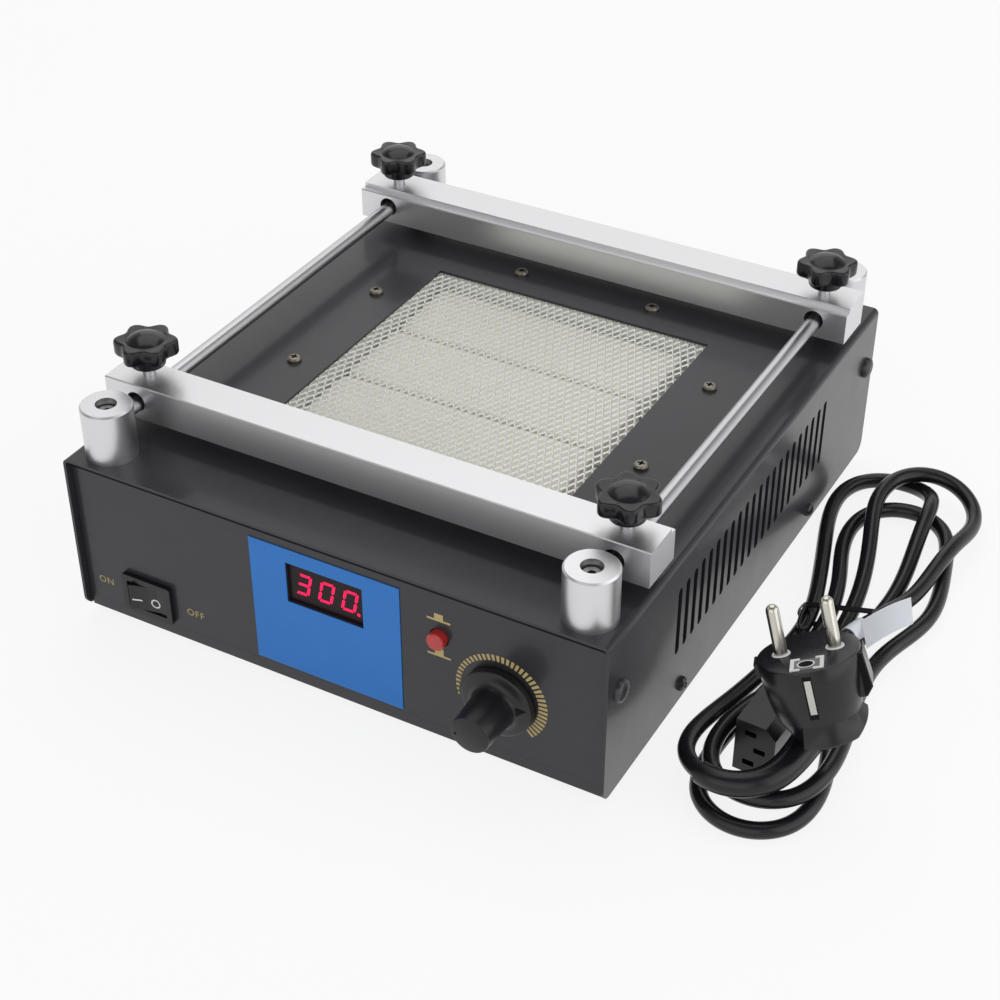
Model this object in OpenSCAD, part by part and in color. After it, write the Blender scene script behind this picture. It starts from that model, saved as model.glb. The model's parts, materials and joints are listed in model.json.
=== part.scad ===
// Bench preheater for circuit boards: a black sheet metal case with an infrared
// heating window under a diamond mesh, a sliding board holder on two rods, and a
// detachable mains lead. Front is -Y, up is +Z, the floor is z = 0.

/* [Case] */
// Width of the case across the sides
case_w = 235; // [200:1:280]
// Depth of the case from front edge to rear edge
case_d = 261; // [230:1:320]
// Height of the case from its underside to the deck
case_h = 72.5; // [66:0.5:100]
// Thickness of the steel sheet
sheet_t = 1.2; // [0.8:0.1:2]
// Outer radius of the cover's two top bends
bend_r = 2.6; // [2.2:0.1:4]
// Radius of the lower corners of the side panels
corner_r = 5; // [2:0.5:10]
// How far the front and rear panels sit inside the cover
panel_recess = 3; // [1:0.5:6]
// Gap between the cover and the chassis inside it
fit_gap = 0.2; // [0.1:0.05:0.4]
// Height of the rubber feet
foot_h = 4; // [3:0.5:10]
// Diameter of the rubber feet
foot_d = 15; // [12:0.5:22]
// Distance of the feet from the case's edges
foot_inset = 28; // [20:1:50]

/* [Side vents] */
// Number of vent slots in each side
slot_count = 22; // [8:1:24]
// Spacing of the vent slots
slot_pitch = 6.8; // [5:0.1:8]
// Length of a vent slot
slot_len = 31; // [16:0.5:36]
// Width of a vent slot
slot_w = 3.4; // [2:0.1:4]
// Height of the slots' middle above the case's underside
slot_z = 42.8; // [36:0.2:46]

/* [Cover screws] */
// Diameter of the screws' threads
screw_d = 3; // [2.5:0.1:3.5]
// Clearance of a screw hole over its thread
screw_gap = 0.2; // [0.1:0.05:0.5]
// Diameter of the screw heads
head_d = 6; // [5.2:0.1:7]
// Height of the screw heads
head_h = 2; // [1.2:0.1:2.6]
// Distance of the upper side screws from the case's front and rear edges
side_screw_inset = 9; // [7:0.5:12]
// Depth of the upper side screws under the deck
side_screw_drop = 24.8; // [15:0.1:40]
// Distance of the lower side screws from the case's front and rear edges
low_screw_inset = 65.9; // [40:0.1:90]
// Height of the lower side screws
low_screw_z = 7.4; // [6.5:0.1:9]

/* [Heating window] */
// Width of the window in the deck
window_w = 130; // [110:1:140]
// Depth of the window in the deck
window_d = 126; // [110:1:130]
// Offset of the window's middle from the case's middle
window_y = 4.4; // [0:0.2:8]
// Distance of the deck screws from the edges of the window
deck_screw_edge = 14.5; // [12:0.5:18]
// Half the spacing of each pair of deck screws
deck_screw_half = 32; // [20:0.5:45]
// Thickness of the mesh
mesh_t = 0.8; // [0.5:0.1:1.2]
// Short pitch of the mesh diamonds
mesh_pitch = 7; // [6:0.25:10]
// Width of a mesh strand
strand_w = 1.2; // [0.8:0.1:1.6]
// Plain border of the mesh under the deck
mesh_border = 7; // [5:0.5:9]

/* [Heater] */
// Length of a ceramic tile
tile_l = 124; // [100:1:126]
// Width of a ceramic tile
tile_w = 40; // [30:0.5:40.6]
// Thickness of a ceramic tile
tile_h = 9; // [6:0.5:12]
// Gap between neighbouring tiles
tile_gap = 1; // [0.6:0.1:2]
// Depth of the tiles' faces under the deck
tile_drop = 8; // [5:0.5:12]
// Height of the lugs that carry a tile
lug_h = 8; // [5:0.5:12]
// Thickness of the heater tray's sheet
tray_t = 0.8; // [0.6:0.1:1.2]

/* [Board holder] */
// Diameter of the corner posts
post_d = 20.5; // [16:0.5:24]
// Height of the corner posts
post_h = 22; // [20:0.5:30]
// Distance of the posts' axes from the sides of the case
post_side = 14.1; // [12:0.1:20]
// Distance of the posts' axes from the front and rear edges
post_edge = 13; // [11:0.5:20]
// Counterbore in the top of a post
post_bore = 8.4; // [7.6:0.1:9]
// Depth of the counterbore in a post
post_bore_depth = 7; // [5:0.5:8]
// Diameter of the two guide rods
rod_d = 6; // [5:0.1:6.5]
// Height of the rods' axes above the deck
rod_z = 12.2; // [11.5:0.1:14]
// How far a rod goes into a post
rod_depth = 5; // [3:0.25:5.5]
// How far a rail reaches past the rods' axes
rail_over = 14.1; // [11:0.1:20]
// Width of the sliding rails
rail_w = 20; // [18:0.5:22]
// Height of the sliding rails
rail_h = 15.2; // [14:0.2:18]
// Bore of the rails over the rods
rail_bore = 8.4; // [7.4:0.1:9]
// Width of the ledge that a board lies on
ledge_w = 3.2; // [2:0.2:5]
// Depth of the ledge under the rail's top
ledge_drop = 2; // [1:0.2:3]
// Gap from the front posts to the front rail
front_rail_gap = 6.75; // [1:0.25:20]
// Gap from the rear posts to the rear rail
rear_rail_gap = 1.25; // [1:0.25:20]

/* [Star knobs] */
// Diameter over the lobes
star_d = 25; // [22:0.5:30]
// Depth of the hollows between the lobes
star_wave = 2.6; // [1.5:0.1:3.5]
// Thickness of the lobes
star_h = 6.5; // [5:0.25:9]
// Diameter of the hub under the lobes
hub_d = 14; // [11:0.5:17]
// Height of the hub under the lobes
hub_h = 4.5; // [3:0.25:7]
// Diameter of the dome on top
dome_d = 15; // [11:0.5:17]
// Height of the dome on top
dome_h = 2.4; // [1:0.1:4]
// Diameter of the clamping stud
stud_d = 5; // [4:0.1:5.2]
// Length of stud that shows between rail and hub
stud_show = 4.5; // [3:0.25:8]
// Running clearance of studs, shafts and pins
run_gap = 0.05; // [0.03:0.01:0.1]

/* [Front panel] */
// Width of the blue label
label_w = 65.6; // [55:0.2:70]
// Height of the blue label
label_h = 57.7; // [46:0.1:60]
// Thickness of the blue label
label_t = 0.4; // [0.2:0.05:0.8]
// Place of the label's middle, across
label_x = -0.9; // [-5:0.1:5]
// Place of the label's middle, up
label_z = 35.2; // [33:0.1:37]
// Width of the display window
display_w = 33.6; // [28:0.2:40]
// Height of the display window
display_h = 18.5; // [14:0.1:20]
// Height of the display window's middle
display_z = 48.4; // [46:0.1:50]
// Width of the switch bezel
bezel_w = 23.5; // [20:0.5:26]
// Height of the switch bezel
bezel_h = 17.7; // [16:0.1:20]
// Distance of the switch's middle from the left side
switch_side = 32.1; // [24:0.1:50]
// Place of the switch's middle, up
switch_z = 14.9; // [13:0.1:30]
// How far each end of the rocker tilts, in degrees
rocker_tilt = 9; // [6:0.5:11]
// Diameter of the push button
button_d = 7.4; // [5:0.1:8]
// How far the button stands out of the panel
button_out = 3.6; // [3:0.1:6]
// Travel of the push button
button_travel = 2.5; // [1.5:0.1:2.8]
// Distance of the button's middle from the dial's, across
button_side = 25.5; // [22:0.1:30]
// Place of the button's middle, up
button_z = 47.8; // [45:0.1:52]
// Distance of the dial's middle from the right side
dial_side = 43.8; // [30:0.1:48]
// Place of the dial's middle, up
dial_z = 29.8; // [27:0.1:34]
// Diameter of the dial knob's skirt
skirt_d = 31.5; // [26:0.5:34]
// Diameter of the dial knob's grip at its face
grip_d = 15.5; // [13:0.5:19]
// How far the dial knob stands out of the panel
dial_out = 23.5; // [18:0.5:28]

/* [Rear panel] */
// Distance of the mains inlet's middle from the case's side
inlet_side = 41.5; // [34:0.5:80]
// Place of the mains inlet's middle, up
inlet_z = 28; // [20:0.5:45]

/* [Inside] */
// Room between the control board and each side of the case
control_side = 41.5; // [30:0.5:60]
// Depth of the control board, front to back
control_d = 42; // [36:0.5:50]
// Distance of the control board's middle behind the front panel
control_back = 39; // [38:0.5:44]
// Height of the standoffs under the control board
standoff_h = 6; // [5:0.5:10]
// Width of the transformer's core
core_w = 38; // [30:0.5:44]
// Height of the transformer's core
core_h = 30; // [24:0.5:34]
// Width of the heat sink
sink_w = 44; // [30:0.5:50]
// Height of the heat sink
sink_h = 24; // [16:0.5:30]
// Width of the terminal block
block_w = 48; // [36:0.5:60]

/* [Mains lead] */
// Diameter of the cable
cable_d = 6.6; // [6:0.1:7.2]

/* [Hidden] */
$fn = 48;
eps = 0.01;
black = [0.13, 0.13, 0.14];
alu = [0.82, 0.83, 0.84];
steel = [0.62, 0.63, 0.65];
brass = [0.8, 0.66, 0.35];

// Where the case stands in the row frame: the dial knob reaches out in front
case_y = (dial_out - panel_recess) / 2;
inner_w = case_w - 2 * (sheet_t + fit_gap);
side_screw_y = case_d / 2 - side_screw_inset;
side_screw_z = case_h - side_screw_drop;
low_screw_y = case_d / 2 - low_screw_inset;
post_x = case_w / 2 - post_side;
post_y = case_d / 2 - post_edge;
rail_l = 2 * (post_x + rail_over);
post_face = post_y - post_d / 2;
front_rail_y = -post_face + front_rail_gap + rail_w / 2;
rear_rail_y = post_face - rear_rail_gap - rail_w / 2;
switch_x = -case_w / 2 + switch_side;
dial_x = case_w / 2 - dial_side;
button_x = dial_x - button_side;
inlet_x = -case_w / 2 + inlet_side;
panel_y = case_d / 2 - panel_recess;
front_y = -panel_y;
front_in = front_y + sheet_t;
wall_top = case_h - sheet_t - fit_gap;
flange_len = 14;
flange_h = 12;
hole_d = screw_d + screw_gap;

// Heater tray and mesh hang from the deck
mesh_z = case_h - sheet_t - mesh_t;
flange_z = mesh_z - tray_t;
tile_z = case_h - tile_drop;
tray_floor = tile_z - tile_h - lug_h;
tray_w = window_w + 4;
tray_d = window_d + 4;
tray_rim = deck_screw_edge + 6;
tile_pitch = tile_w + tile_gap;
deck_screws_at = concat(
  [for (s = [-1, 1], t = [-1, 1]) [s * (window_w / 2 + deck_screw_edge), window_y + t * deck_screw_half]],
  [for (s = [-1, 1], t = [-1, 1]) [t * deck_screw_half, window_y + s * (window_d / 2 + deck_screw_edge)]]);

// Board holder, heights above the case's underside
rod_axis = case_h + rod_z;
rail_mid = rod_axis + (rail_bore - rod_d) / 2 - run_gap;
rail_top = rail_mid + rail_h / 2;
hub_z = rail_top + stud_show;
stud_tip = rod_axis + rod_d / 2 + 2 * run_gap;
stud_in = hub_h + star_h - 3;
star_base = (star_d - star_wave) / 2;

// Front panel
pot_d = 16.5;
pot_len = 9;
bush_d = 7;
shaft_d = 6;
nut_h = 2.4;
skirt_gap = nut_h + 0.6;
bezel_t = 2.2;
bezel_rim = 2.6;
switch_depth = 15;
pivot_in = 2.4;
pin_d = 2.6;
board_t = 1.6;
led_t = 8;
board_y = front_in + led_t;
board_left = label_x - display_w / 2 - 14;
board_right = button_x + 7;
board_x = (board_left + board_right) / 2;
board_w = board_right - board_left;
board_h = 44;
board_z = case_h / 2 + 8;
control_w = case_w - 2 * control_side;
control_y = front_y + control_back;
control_z = sheet_t + standoff_h;
hole_inset = 6;
control_cols = [-control_w / 2 + hole_inset, control_w / 2 - hole_inset];
control_rows = [control_y - control_d / 2 + hole_inset, control_y + control_d / 2 - hole_inset];
pin_clear = shaft_d + 2 * run_gap;
rocker_reach = bezel_t + pivot_in + 0.6;
rocker_half = (bezel_w / 2 - bezel_rim - 0.35 - rocker_reach * sin(rocker_tilt)) / cos(rocker_tilt);
button_stem = board_y - front_y - 0.7 - button_travel;

// Mains inlet and lead
inlet_w = 27.4;
inlet_h = 20;
ear_pitch = 40;
pin_pitch = 19;
plug_pin_d = 4.8;
pin_len = 19;
pin_root = 8;
earth_y = 10;
inlet_pin_at = [[0, 2], [-7, -2], [7, -2]];

// The lead lies beside the case and keeps its distance from the right side
lead_side = 117.5;
lead_shift = case_w / 2 - lead_side;

// The cable's route from the plug to the connector, in the row frame
route = [
  [176, -71, 24], [174.6, -83.5, 21.5], [170.7, -95.6, 19.4], [160.4, -103.1, 18.4], [147.6, -103.1, 17.8],
  [137.3, -95.6, 16.6], [133.4, -83.5, 14], [132.8, -70, 10.5], [134, -56, 7], [136.4, -42, 5],
  [139.2, -26, 4.2], [142, -9, 4.2], [143.3, 8, 4.2], [141.5, 24, 4.2], [137, 41, 4.2],
  [132, 58, 4.2], [127, 74, 4.2], [123.2, 89, 4.2], [122.2, 103, 4.2], [126.1, 115.1, 4.2],
  [136.4, 122.6, 4.2], [149.2, 122.6, 4.8], [159.5, 115.1, 8], [163.4, 103, 12.4], [164.2, 90, 11],
  [165.8, 75, 8], [167.8, 59, 5.6], [168.4, 43, 4.4], [167, 27, 4.2], [164.6, 10, 4.2],
  [166, -8, 4.2], [171, -30, 4.2], [178, -52, 4.2], [183.4, -71, 4.2], [184.5, -87, 4.2],
  [180.3, -99.9, 4.2], [169.3, -107.9, 4.2], [155.7, -107.9, 4.2], [144.7, -99.9, 4.2], [140.5, -87, 4.2],
  [140.4, -70, 4.2], [142.6, -51, 4.2], [145.8, -32, 4.2], [149, -12, 4.2], [150.4, 9, 4.2],
  [148.5, 28, 4.2], [144.4, 45, 4.2], [139.4, 59, 4.2], [136, 72, 4.2], [135.4, 85, 4.2],
  [139.3, 97.1, 4.2], [149.6, 104.6, 4.2], [162.4, 104.6, 4.2], [172.7, 97.1, 4.2], [177.2, 85, 4.2],
  [180.6, 71, 4.2], [184.4, 55, 4.2], [186, 39, 4.2], [182.8, 25, 4.2], [177.8, 11, 4.2],
  [175.5, -5, 4.4], [177.5, -25, 6.6], [182, -46, 10], [184.6, -64, 11], [184, -78, 11],
  [179.9, -90.6, 11], [169.1, -98.4, 11], [155.9, -98.4, 11], [145.1, -90.6, 11], [141, -78, 11],
  [141.6, -63, 11], [147, -47, 11.2], [152.4, -30, 8.8], [156.2, -10, 5], [157.6, 9, 4.2],
  [156.5, 28, 4.2], [154, 46, 5], [150, 63, 8], [145.4, 77.5, 11.6], [141.8, 90, 12.8],
  [141, 102.8, 12.8], [143.7, 115.3, 12.8], [153.1, 123.8, 12.8], [165.8, 125.1, 11], [176.8, 118.8, 8],
  [182, 107.2, 6.6], [182.4, 95, 8.6], [180.8, 82, 11.4], [179.2, 68, 11.4], [178.2, 54, 9.8],
  [176.6, 40, 9.2], [172.3, 26, 11.4], [166.5, 13, 11.6], [162.8, 1, 11.8], [161.2, -11, 12.8],
  [160.4, -23, 14], [159.5, -40.2, 14]];
cable_sides = 10;
cable_rings = 80;

// Plug: its face's middle, and the way it leans on the coiled cable
plug_at = [170, -68.5, 60];
plug_lean = [-11.2, -21.1, 19];
plug_body_d = 37;
plug_len = 21;
grip_len = 15;

// Connector: the middle of its face, and its heading
connector_at = [157.5, -78, 14];
connector_turn = -3;
connector_len = 33;
relief_len = 20;

// Tie: where it crosses the hank, and the middles of the strands at its corners
tie_y = 17;
tie_path = [[142.1, 4.8], [165.9, 4.8], [168.8, 11.6]];
tie_r = cable_d / 2 + 0.9;
tie_w = 3;
tie_t = 0.5;

// Moves from the case's own frame, with its origin in the middle of its underside, to the row frame
module in_case() {
  translate([0, case_y, foot_h]) children();
}

// Repeats something at both signs of X and Y
module four(x, y) {
  for (sx = [-1, 1], sy = [-1, 1]) translate([sx * x, sy * y, 0]) children();
}

// Rounded rectangle, drawn round its middle
module round_rect(w, h, r) {
  square([w - 2 * r, h], center = true);
  square([w, h - 2 * r], center = true);
  for (sx = [-1, 1], sy = [-1, 1]) translate([sx * (w / 2 - r), sy * (h / 2 - r)]) circle(r);
}

// Upright slab whose outline is drawn in X and Z, from y to y + t
module slab_y(y, t) {
  translate([0, y + t, 0]) rotate([90, 0, 0]) linear_extrude(t) children();
}

// Upright slab whose outline is drawn in Y and Z, from x to x + t
module slab_x(x, t) {
  translate([x, 0, 0]) rotate([90, 0, 90]) linear_extrude(t) children();
}

// Round bar along Y, from y0 to y1
module bar_y(x, z, d, y0, y1) {
  translate([x, y0, z]) rotate([-90, 0, 0]) cylinder(d = d, h = y1 - y0);
}

// Pan head screw, head up, with the seat of its head at z = 0
module pan_screw(len) {
  difference() {
    union() {
      cylinder(d = screw_d, h = len * 2, center = true);
      rotate_extrude() polygon([[0, 0], [head_d / 2, 0], [head_d / 2, head_h * 0.55],
        [head_d * 0.4, head_h * 0.9], [head_d * 0.25, head_h], [0, head_h]]);
    }
    translate([0, 0, head_h + eps]) cylinder(d = head_d * 2, h = len * 2);
    translate([-head_d / 4, -0.45, head_h * 0.45]) cube([head_d / 2, 0.9, head_h]);
    translate([-0.45, -head_d / 4, head_h * 0.45]) cube([0.9, head_d / 2, head_h]);
  }
}

// Hexagon nut with its top at z = 0
module hex_nut(across, h, bore) {
  translate([0, 0, -h]) difference() {
    cylinder(d = across / cos(30), h = h, $fn = 6);
    translate([0, 0, -1]) cylinder(d = bore, h = h + 2);
  }
}

// Outline of the cover seen from the front, with its two bends
module cover_arch(w, h, r) {
  translate([-w / 2, -1]) square([w, h - r + 1]);
  translate([-w / 2 + r, -1]) square([w - 2 * r, h + 1]);
  for (s = [-1, 1]) translate([s * (w / 2 - r), h - r]) circle(r);
}

// Outline of a side panel, with rounded lower corners
module side_outline() {
  translate([-case_d / 2, corner_r]) square([case_d, case_h]);
  translate([-case_d / 2 + corner_r, 0]) square([case_d - 2 * corner_r, case_h]);
  for (s = [-1, 1]) translate([s * (case_d / 2 - corner_r), corner_r]) circle(corner_r);
}

module slot_2d() {
  square([slot_w, slot_len - slot_w], center = true);
  for (s = [-1, 1]) translate([0, s * (slot_len - slot_w) / 2]) circle(d = slot_w);
}

// Top and both sides, bent from one sheet
module top_cover() {
  color(black) in_case() difference() {
    intersection() {
      difference() {
        slab_y(-case_d / 2, case_d) cover_arch(case_w, case_h, bend_r);
        slab_y(-case_d / 2 - 1, case_d + 2)
          cover_arch(case_w - 2 * sheet_t, case_h - sheet_t, bend_r - sheet_t);
      }
      slab_x(-case_w / 2 - 1, case_w + 2) side_outline();
    }
    translate([-window_w / 2, window_y - window_d / 2, case_h - 2 * sheet_t])
      cube([window_w, window_d, 4 * sheet_t]);
    for (p = deck_screws_at) translate([p[0], p[1], case_h - 5]) cylinder(d = hole_d, h = 10);
    four(post_x, post_y) translate([0, 0, case_h - 5]) cylinder(d = 4.4, h = 10);
    for (i = [0 : slot_count - 1]) slab_x(-case_w, 2 * case_w)
      translate([(i - (slot_count - 1) / 2) * slot_pitch, slot_z]) slot_2d();
    for (s = [-1, 1]) {
      slab_x(-case_w, 2 * case_w) translate([s * side_screw_y, side_screw_z]) circle(d = hole_d);
      slab_x(-case_w, 2 * case_w) translate([s * low_screw_y, low_screw_z]) circle(d = hole_d);
    }
  }
}

// Outline of the chassis seen from the side: floor, front and rear in one bent sheet
module chassis_channel(d, h, r) {
  translate([-d / 2, r]) square([d, h - r]);
  translate([-d / 2 + r, 0]) square([d - 2 * r, h]);
  for (s = [-1, 1]) translate([s * (d / 2 - r), r]) circle(r);
}

// Chamfered outline of the mains inlet and of the connector that fits it
module inlet_outline(w, h, c) {
  polygon([[-w / 2, -h / 2], [w / 2, -h / 2], [w / 2, h / 2 - c], [w / 2 - c, h / 2],
    [-w / 2 + c, h / 2], [-w / 2, h / 2 - c]]);
}

// Bottom, front and rear panels with the flanges that the cover screws go into
module chassis() {
  flange_y = panel_y - bend_r;
  color(black) in_case() difference() {
    union() {
      difference() {
        intersection() {
          slab_x(-inner_w / 2, inner_w) chassis_channel(2 * panel_y, wall_top, bend_r);
          slab_y(-case_d, 2 * case_d) cover_arch(inner_w, wall_top, bend_r - sheet_t);
        }
        slab_x(-case_w, 2 * case_w) translate([0, sheet_t])
          chassis_channel(2 * panel_y - 2 * sheet_t, case_h, bend_r - sheet_t);
      }
      for (s = [-1, 1]) {
        // Upturned edges of the floor
        translate([s * (inner_w / 2 - sheet_t / 2), 0, flange_h / 2])
          cube([sheet_t, 2 * (flange_y - flange_len - 2), flange_h], center = true);
        // Inward edges of the front and rear panels
        for (t = [-1, 1])
          translate([s * (inner_w / 2 - sheet_t / 2), t * (panel_y - flange_len / 2), case_h / 2 + 4])
            cube([sheet_t, flange_len, case_h - 26], center = true);
      }
    }
    for (s = [-1, 1]) {
      slab_x(-case_w, 2 * case_w) translate([s * side_screw_y, side_screw_z]) circle(d = hole_d);
      slab_x(-case_w, 2 * case_w) translate([s * low_screw_y, low_screw_z]) circle(d = hole_d);
    }
    four(case_w / 2 - foot_inset, case_d / 2 - foot_inset)
      translate([0, 0, -5]) cylinder(d = hole_d, h = 10);
    for (x = control_cols, y = control_rows) translate([x, y, -5]) cylinder(d = hole_d, h = 10);
    slab_y(front_y - 5, 10) translate([label_x, display_z]) square([display_w, display_h], center = true);
    slab_y(front_y - 5, 10) translate([switch_x, switch_z])
      square([bezel_w - bezel_rim + 2 * fit_gap, bezel_h - bezel_rim + 2 * fit_gap], center = true);
    bar_y(button_x, button_z, button_d + 0.8, front_y - 5, front_y + 5);
    bar_y(dial_x, dial_z, bush_d + screw_gap, front_y - 5, front_y + 5);
    slab_y(panel_y - 5, 10) translate([inlet_x, inlet_z])
      inlet_outline(inlet_w + 2 * fit_gap, inlet_h + 2 * fit_gap, 5);
    for (s = [-1, 1]) bar_y(inlet_x + s * ear_pitch / 2, inlet_z, hole_d, panel_y - 5, panel_y + 5);
  }
}

module cover_screws() {
  color(steel) in_case() for (sx = [-1, 1], sy = [-1, 1]) {
    translate([sx * case_w / 2, sy * side_screw_y, side_screw_z]) rotate([0, sx * 90, 0]) pan_screw(7);
    translate([sx * case_w / 2, sy * low_screw_y, low_screw_z]) rotate([0, sx * 90, 0]) pan_screw(7);
  }
}

module rubber_feet() {
  color([0.08, 0.08, 0.08]) four(case_w / 2 - foot_inset, case_d / 2 - foot_inset) translate([0, case_y, 0])
    difference() {
      cylinder(d1 = foot_d - 2, d2 = foot_d, h = foot_h);
      translate([0, 0, -1]) cylinder(d = 7, h = 2.5);
      translate([0, 0, -1]) cylinder(d = hole_d, h = foot_h + 2);
    }
}

module foot_screws() {
  color(steel) four(case_w / 2 - foot_inset, case_d / 2 - foot_inset) translate([0, case_y, 1.5])
    union() {
      translate([0, 0, -1.2]) cylinder(d = head_d, h = 1.2);
      cylinder(d = screw_d, h = foot_h + sheet_t + 1.5);
    }
}

// Expanded metal, drawn as staggered diamond openings in a flat sheet
module mesh_guard() {
  long = 2 * mesh_pitch;
  half_w = (mesh_pitch - strand_w * 1.12) / 2;
  half_l = 2 * half_w;
  cols = floor((window_w + mesh_pitch) / mesh_pitch / 2);
  rows = floor((window_d - half_l) / long);
  color(alu) in_case() translate([0, window_y, mesh_z]) difference() {
    translate([-window_w / 2 - mesh_border, -window_d / 2 - mesh_border, 0])
      cube([window_w + 2 * mesh_border, window_d + 2 * mesh_border, mesh_t]);
    for (j = [-rows : rows], i = [-cols : cols - abs(j % 2)])
      translate([(i + abs(j % 2) / 2) * mesh_pitch, j * long / 2, -1]) linear_extrude(mesh_t + 2)
        polygon([[half_w, 0], [0, half_l], [-half_w, 0], [0, -half_l]]);
  }
}

// Reflector box under the window, with a rim that the deck screws hold
module heater_tray() {
  depth = flange_z - tray_floor;
  color([0.75, 0.75, 0.73]) in_case() translate([0, window_y, tray_floor]) difference() {
    union() {
      translate([-tray_w / 2, -tray_d / 2, -tray_t]) cube([tray_w, tray_d, depth + tray_t]);
      translate([-window_w / 2 - tray_rim, -window_d / 2 - tray_rim, depth])
        cube([window_w + 2 * tray_rim, window_d + 2 * tray_rim, tray_t]);
    }
    translate([-tray_w / 2 + tray_t, -tray_d / 2 + tray_t, 0])
      cube([tray_w - 2 * tray_t, tray_d - 2 * tray_t, 2 * case_h]);
    for (p = deck_screws_at) translate([p[0], p[1] - window_y, depth - 5]) cylinder(d = hole_d, h = 10);
    for (s = [-1, 1]) translate([s * window_w / 4, 0, -5]) cylinder(d = 8, h = 10);
    translate([0, 0, -5]) cylinder(d = 3.2, h = 10);
  }
}

// One ceramic heater: a rounded plate with two lugs moulded underneath
module heater_tile(y) {
  color([0.93, 0.92, 0.86]) in_case() translate([0, window_y + y, tile_z - tile_h]) union() {
    linear_extrude(tile_h) round_rect(tile_l, tile_w, 3);
    for (s = [-1, 1]) translate([s * tile_l * 0.4 - 6, -8, -lug_h]) cube([12, 16, lug_h + eps]);
  }
}

module heater_tile_front() {
  heater_tile(-tile_pitch);
}

module heater_tile_middle() {
  heater_tile(0);
}

module heater_tile_rear() {
  heater_tile(tile_pitch);
}

// Sheathed probe through the tray's floor, touching the middle tile
module thermocouple() {
  probe_z = tray_floor - tray_t - 8;
  color(steel) in_case() translate([0, window_y, probe_z]) union() {
    cylinder(d = 3, h = tile_z - tile_h - probe_z);
    translate([0, 0, 8 - 3]) cylinder(d = 7, h = 3, $fn = 6);
  }
}

// Ceramic terminal block on the chassis floor, under the heater
module terminal_block() {
  depth = block_w * 0.38;
  height = block_w / 3;
  pitch = block_w * 0.31;
  color([0.9, 0.88, 0.82]) in_case() translate([0, window_y + window_d / 6, sheet_t]) difference() {
    translate([-block_w / 2, -depth / 2, 0]) cube([block_w, depth, height]);
    for (i = [-1 : 1]) {
      translate([i * pitch, 0, height * 0.3]) cylinder(d = pitch / 2, h = height);
      translate([i * pitch, 0, height * 0.4]) rotate([90, 0, 0])
        cylinder(d = pitch / 4, h = block_w, center = true);
    }
  }
}

module deck_screws() {
  color(steel) in_case() for (p = deck_screws_at) translate([p[0], p[1], case_h]) pan_screw(7);
}

module deck_nuts() {
  color(steel) in_case() for (p = deck_screws_at)
    translate([p[0], p[1], flange_z]) hex_nut(5.5, 2.4, hole_d);
}

// Corner post: a turned aluminium pillar with a blind cross hole for its rod
module post(sx, sy) {
  edge = 0.7;
  color(alu) in_case() translate([sx * post_x, sy * post_y, case_h]) difference() {
    rotate_extrude() polygon([[0, 0], [post_d / 2, 0], [post_d / 2, post_h - edge],
      [post_d / 2 - edge, post_h], [0, post_h]]);
    translate([0, 0, -1]) cylinder(d = 4.4, h = post_h + 2);
    translate([0, 0, post_h - post_bore_depth]) cylinder(d = post_bore, h = post_h);
    translate([0, 0, rod_z]) rotate([sy * 90, 0, 0]) translate([0, 0, post_d / 2 - rod_depth])
      cylinder(d = rod_d + 2 * run_gap, h = post_d);
  }
}

module post_front_left() {
  post(-1, -1);
}

module post_front_right() {
  post(1, -1);
}

module post_rear_left() {
  post(-1, 1);
}

module post_rear_right() {
  post(1, 1);
}

// Socket head screws that hold the posts down
module post_screws() {
  shank = post_h - post_bore_depth + sheet_t + 5;
  seat = case_h + post_h - post_bore_depth;
  color(steel) in_case() four(post_x, post_y) translate([0, 0, seat]) difference() {
    union() {
      cylinder(d = 7, h = 4);
      translate([0, 0, -shank]) cylinder(d = 4, h = shank + eps);
    }
    translate([0, 0, 2]) cylinder(d = 3 / cos(30), h = 4, $fn = 6);
  }
}

module post_nuts() {
  color(steel) in_case() four(post_x, post_y) translate([0, 0, case_h - sheet_t]) hex_nut(7, 3.2, 4.2);
}

module rod(sx) {
  reach = post_y - post_d / 2 + rod_depth - run_gap;
  color(steel) in_case() bar_y(sx * post_x, rod_axis, rod_d, -reach, reach);
}

module rod_left() {
  rod(-1);
}

module rod_right() {
  rod(1);
}

// Sliding rail: a bar with a ledge along its inner top edge; inner is the side that faces the board
module rail(y, inner) {
  edge = 0.4;
  color(alu) in_case() translate([0, y, rail_mid]) difference() {
    translate([-rail_l / 2, 0, 0]) rotate([90, 0, 90]) linear_extrude(rail_l) polygon([
      [-inner * rail_w / 2, -rail_h / 2],
      [inner * rail_w / 2, -rail_h / 2],
      [inner * rail_w / 2, rail_h / 2 - ledge_drop - edge],
      [inner * (rail_w / 2 - edge), rail_h / 2 - ledge_drop],
      [inner * (rail_w / 2 - ledge_w), rail_h / 2 - ledge_drop],
      [inner * (rail_w / 2 - ledge_w), rail_h / 2],
      [-inner * (rail_w / 2 - edge), rail_h / 2],
      [-inner * rail_w / 2, rail_h / 2 - edge]]);
    for (s = [-1, 1]) {
      bar_y(s * post_x, 0, rail_bore, -rail_w, rail_w);
      translate([s * post_x, 0, 0]) cylinder(d = stud_d + 2 * run_gap, h = rail_h);
    }
  }
}

module rail_front() {
  rail(front_rail_y, 1);
}

module rail_rear() {
  rail(rear_rail_y, -1);
}

// Clamping stud that presses on the rod
module stud(sx, y) {
  color(steel) in_case() translate([sx * post_x, y, stud_tip])
    cylinder(d = stud_d, h = hub_z + stud_in - stud_tip);
}

module stud_front_left() {
  stud(-1, front_rail_y);
}

module stud_front_right() {
  stud(1, front_rail_y);
}

module stud_rear_left() {
  stud(-1, rear_rail_y);
}

module stud_rear_right() {
  stud(1, rear_rail_y);
}

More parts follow.
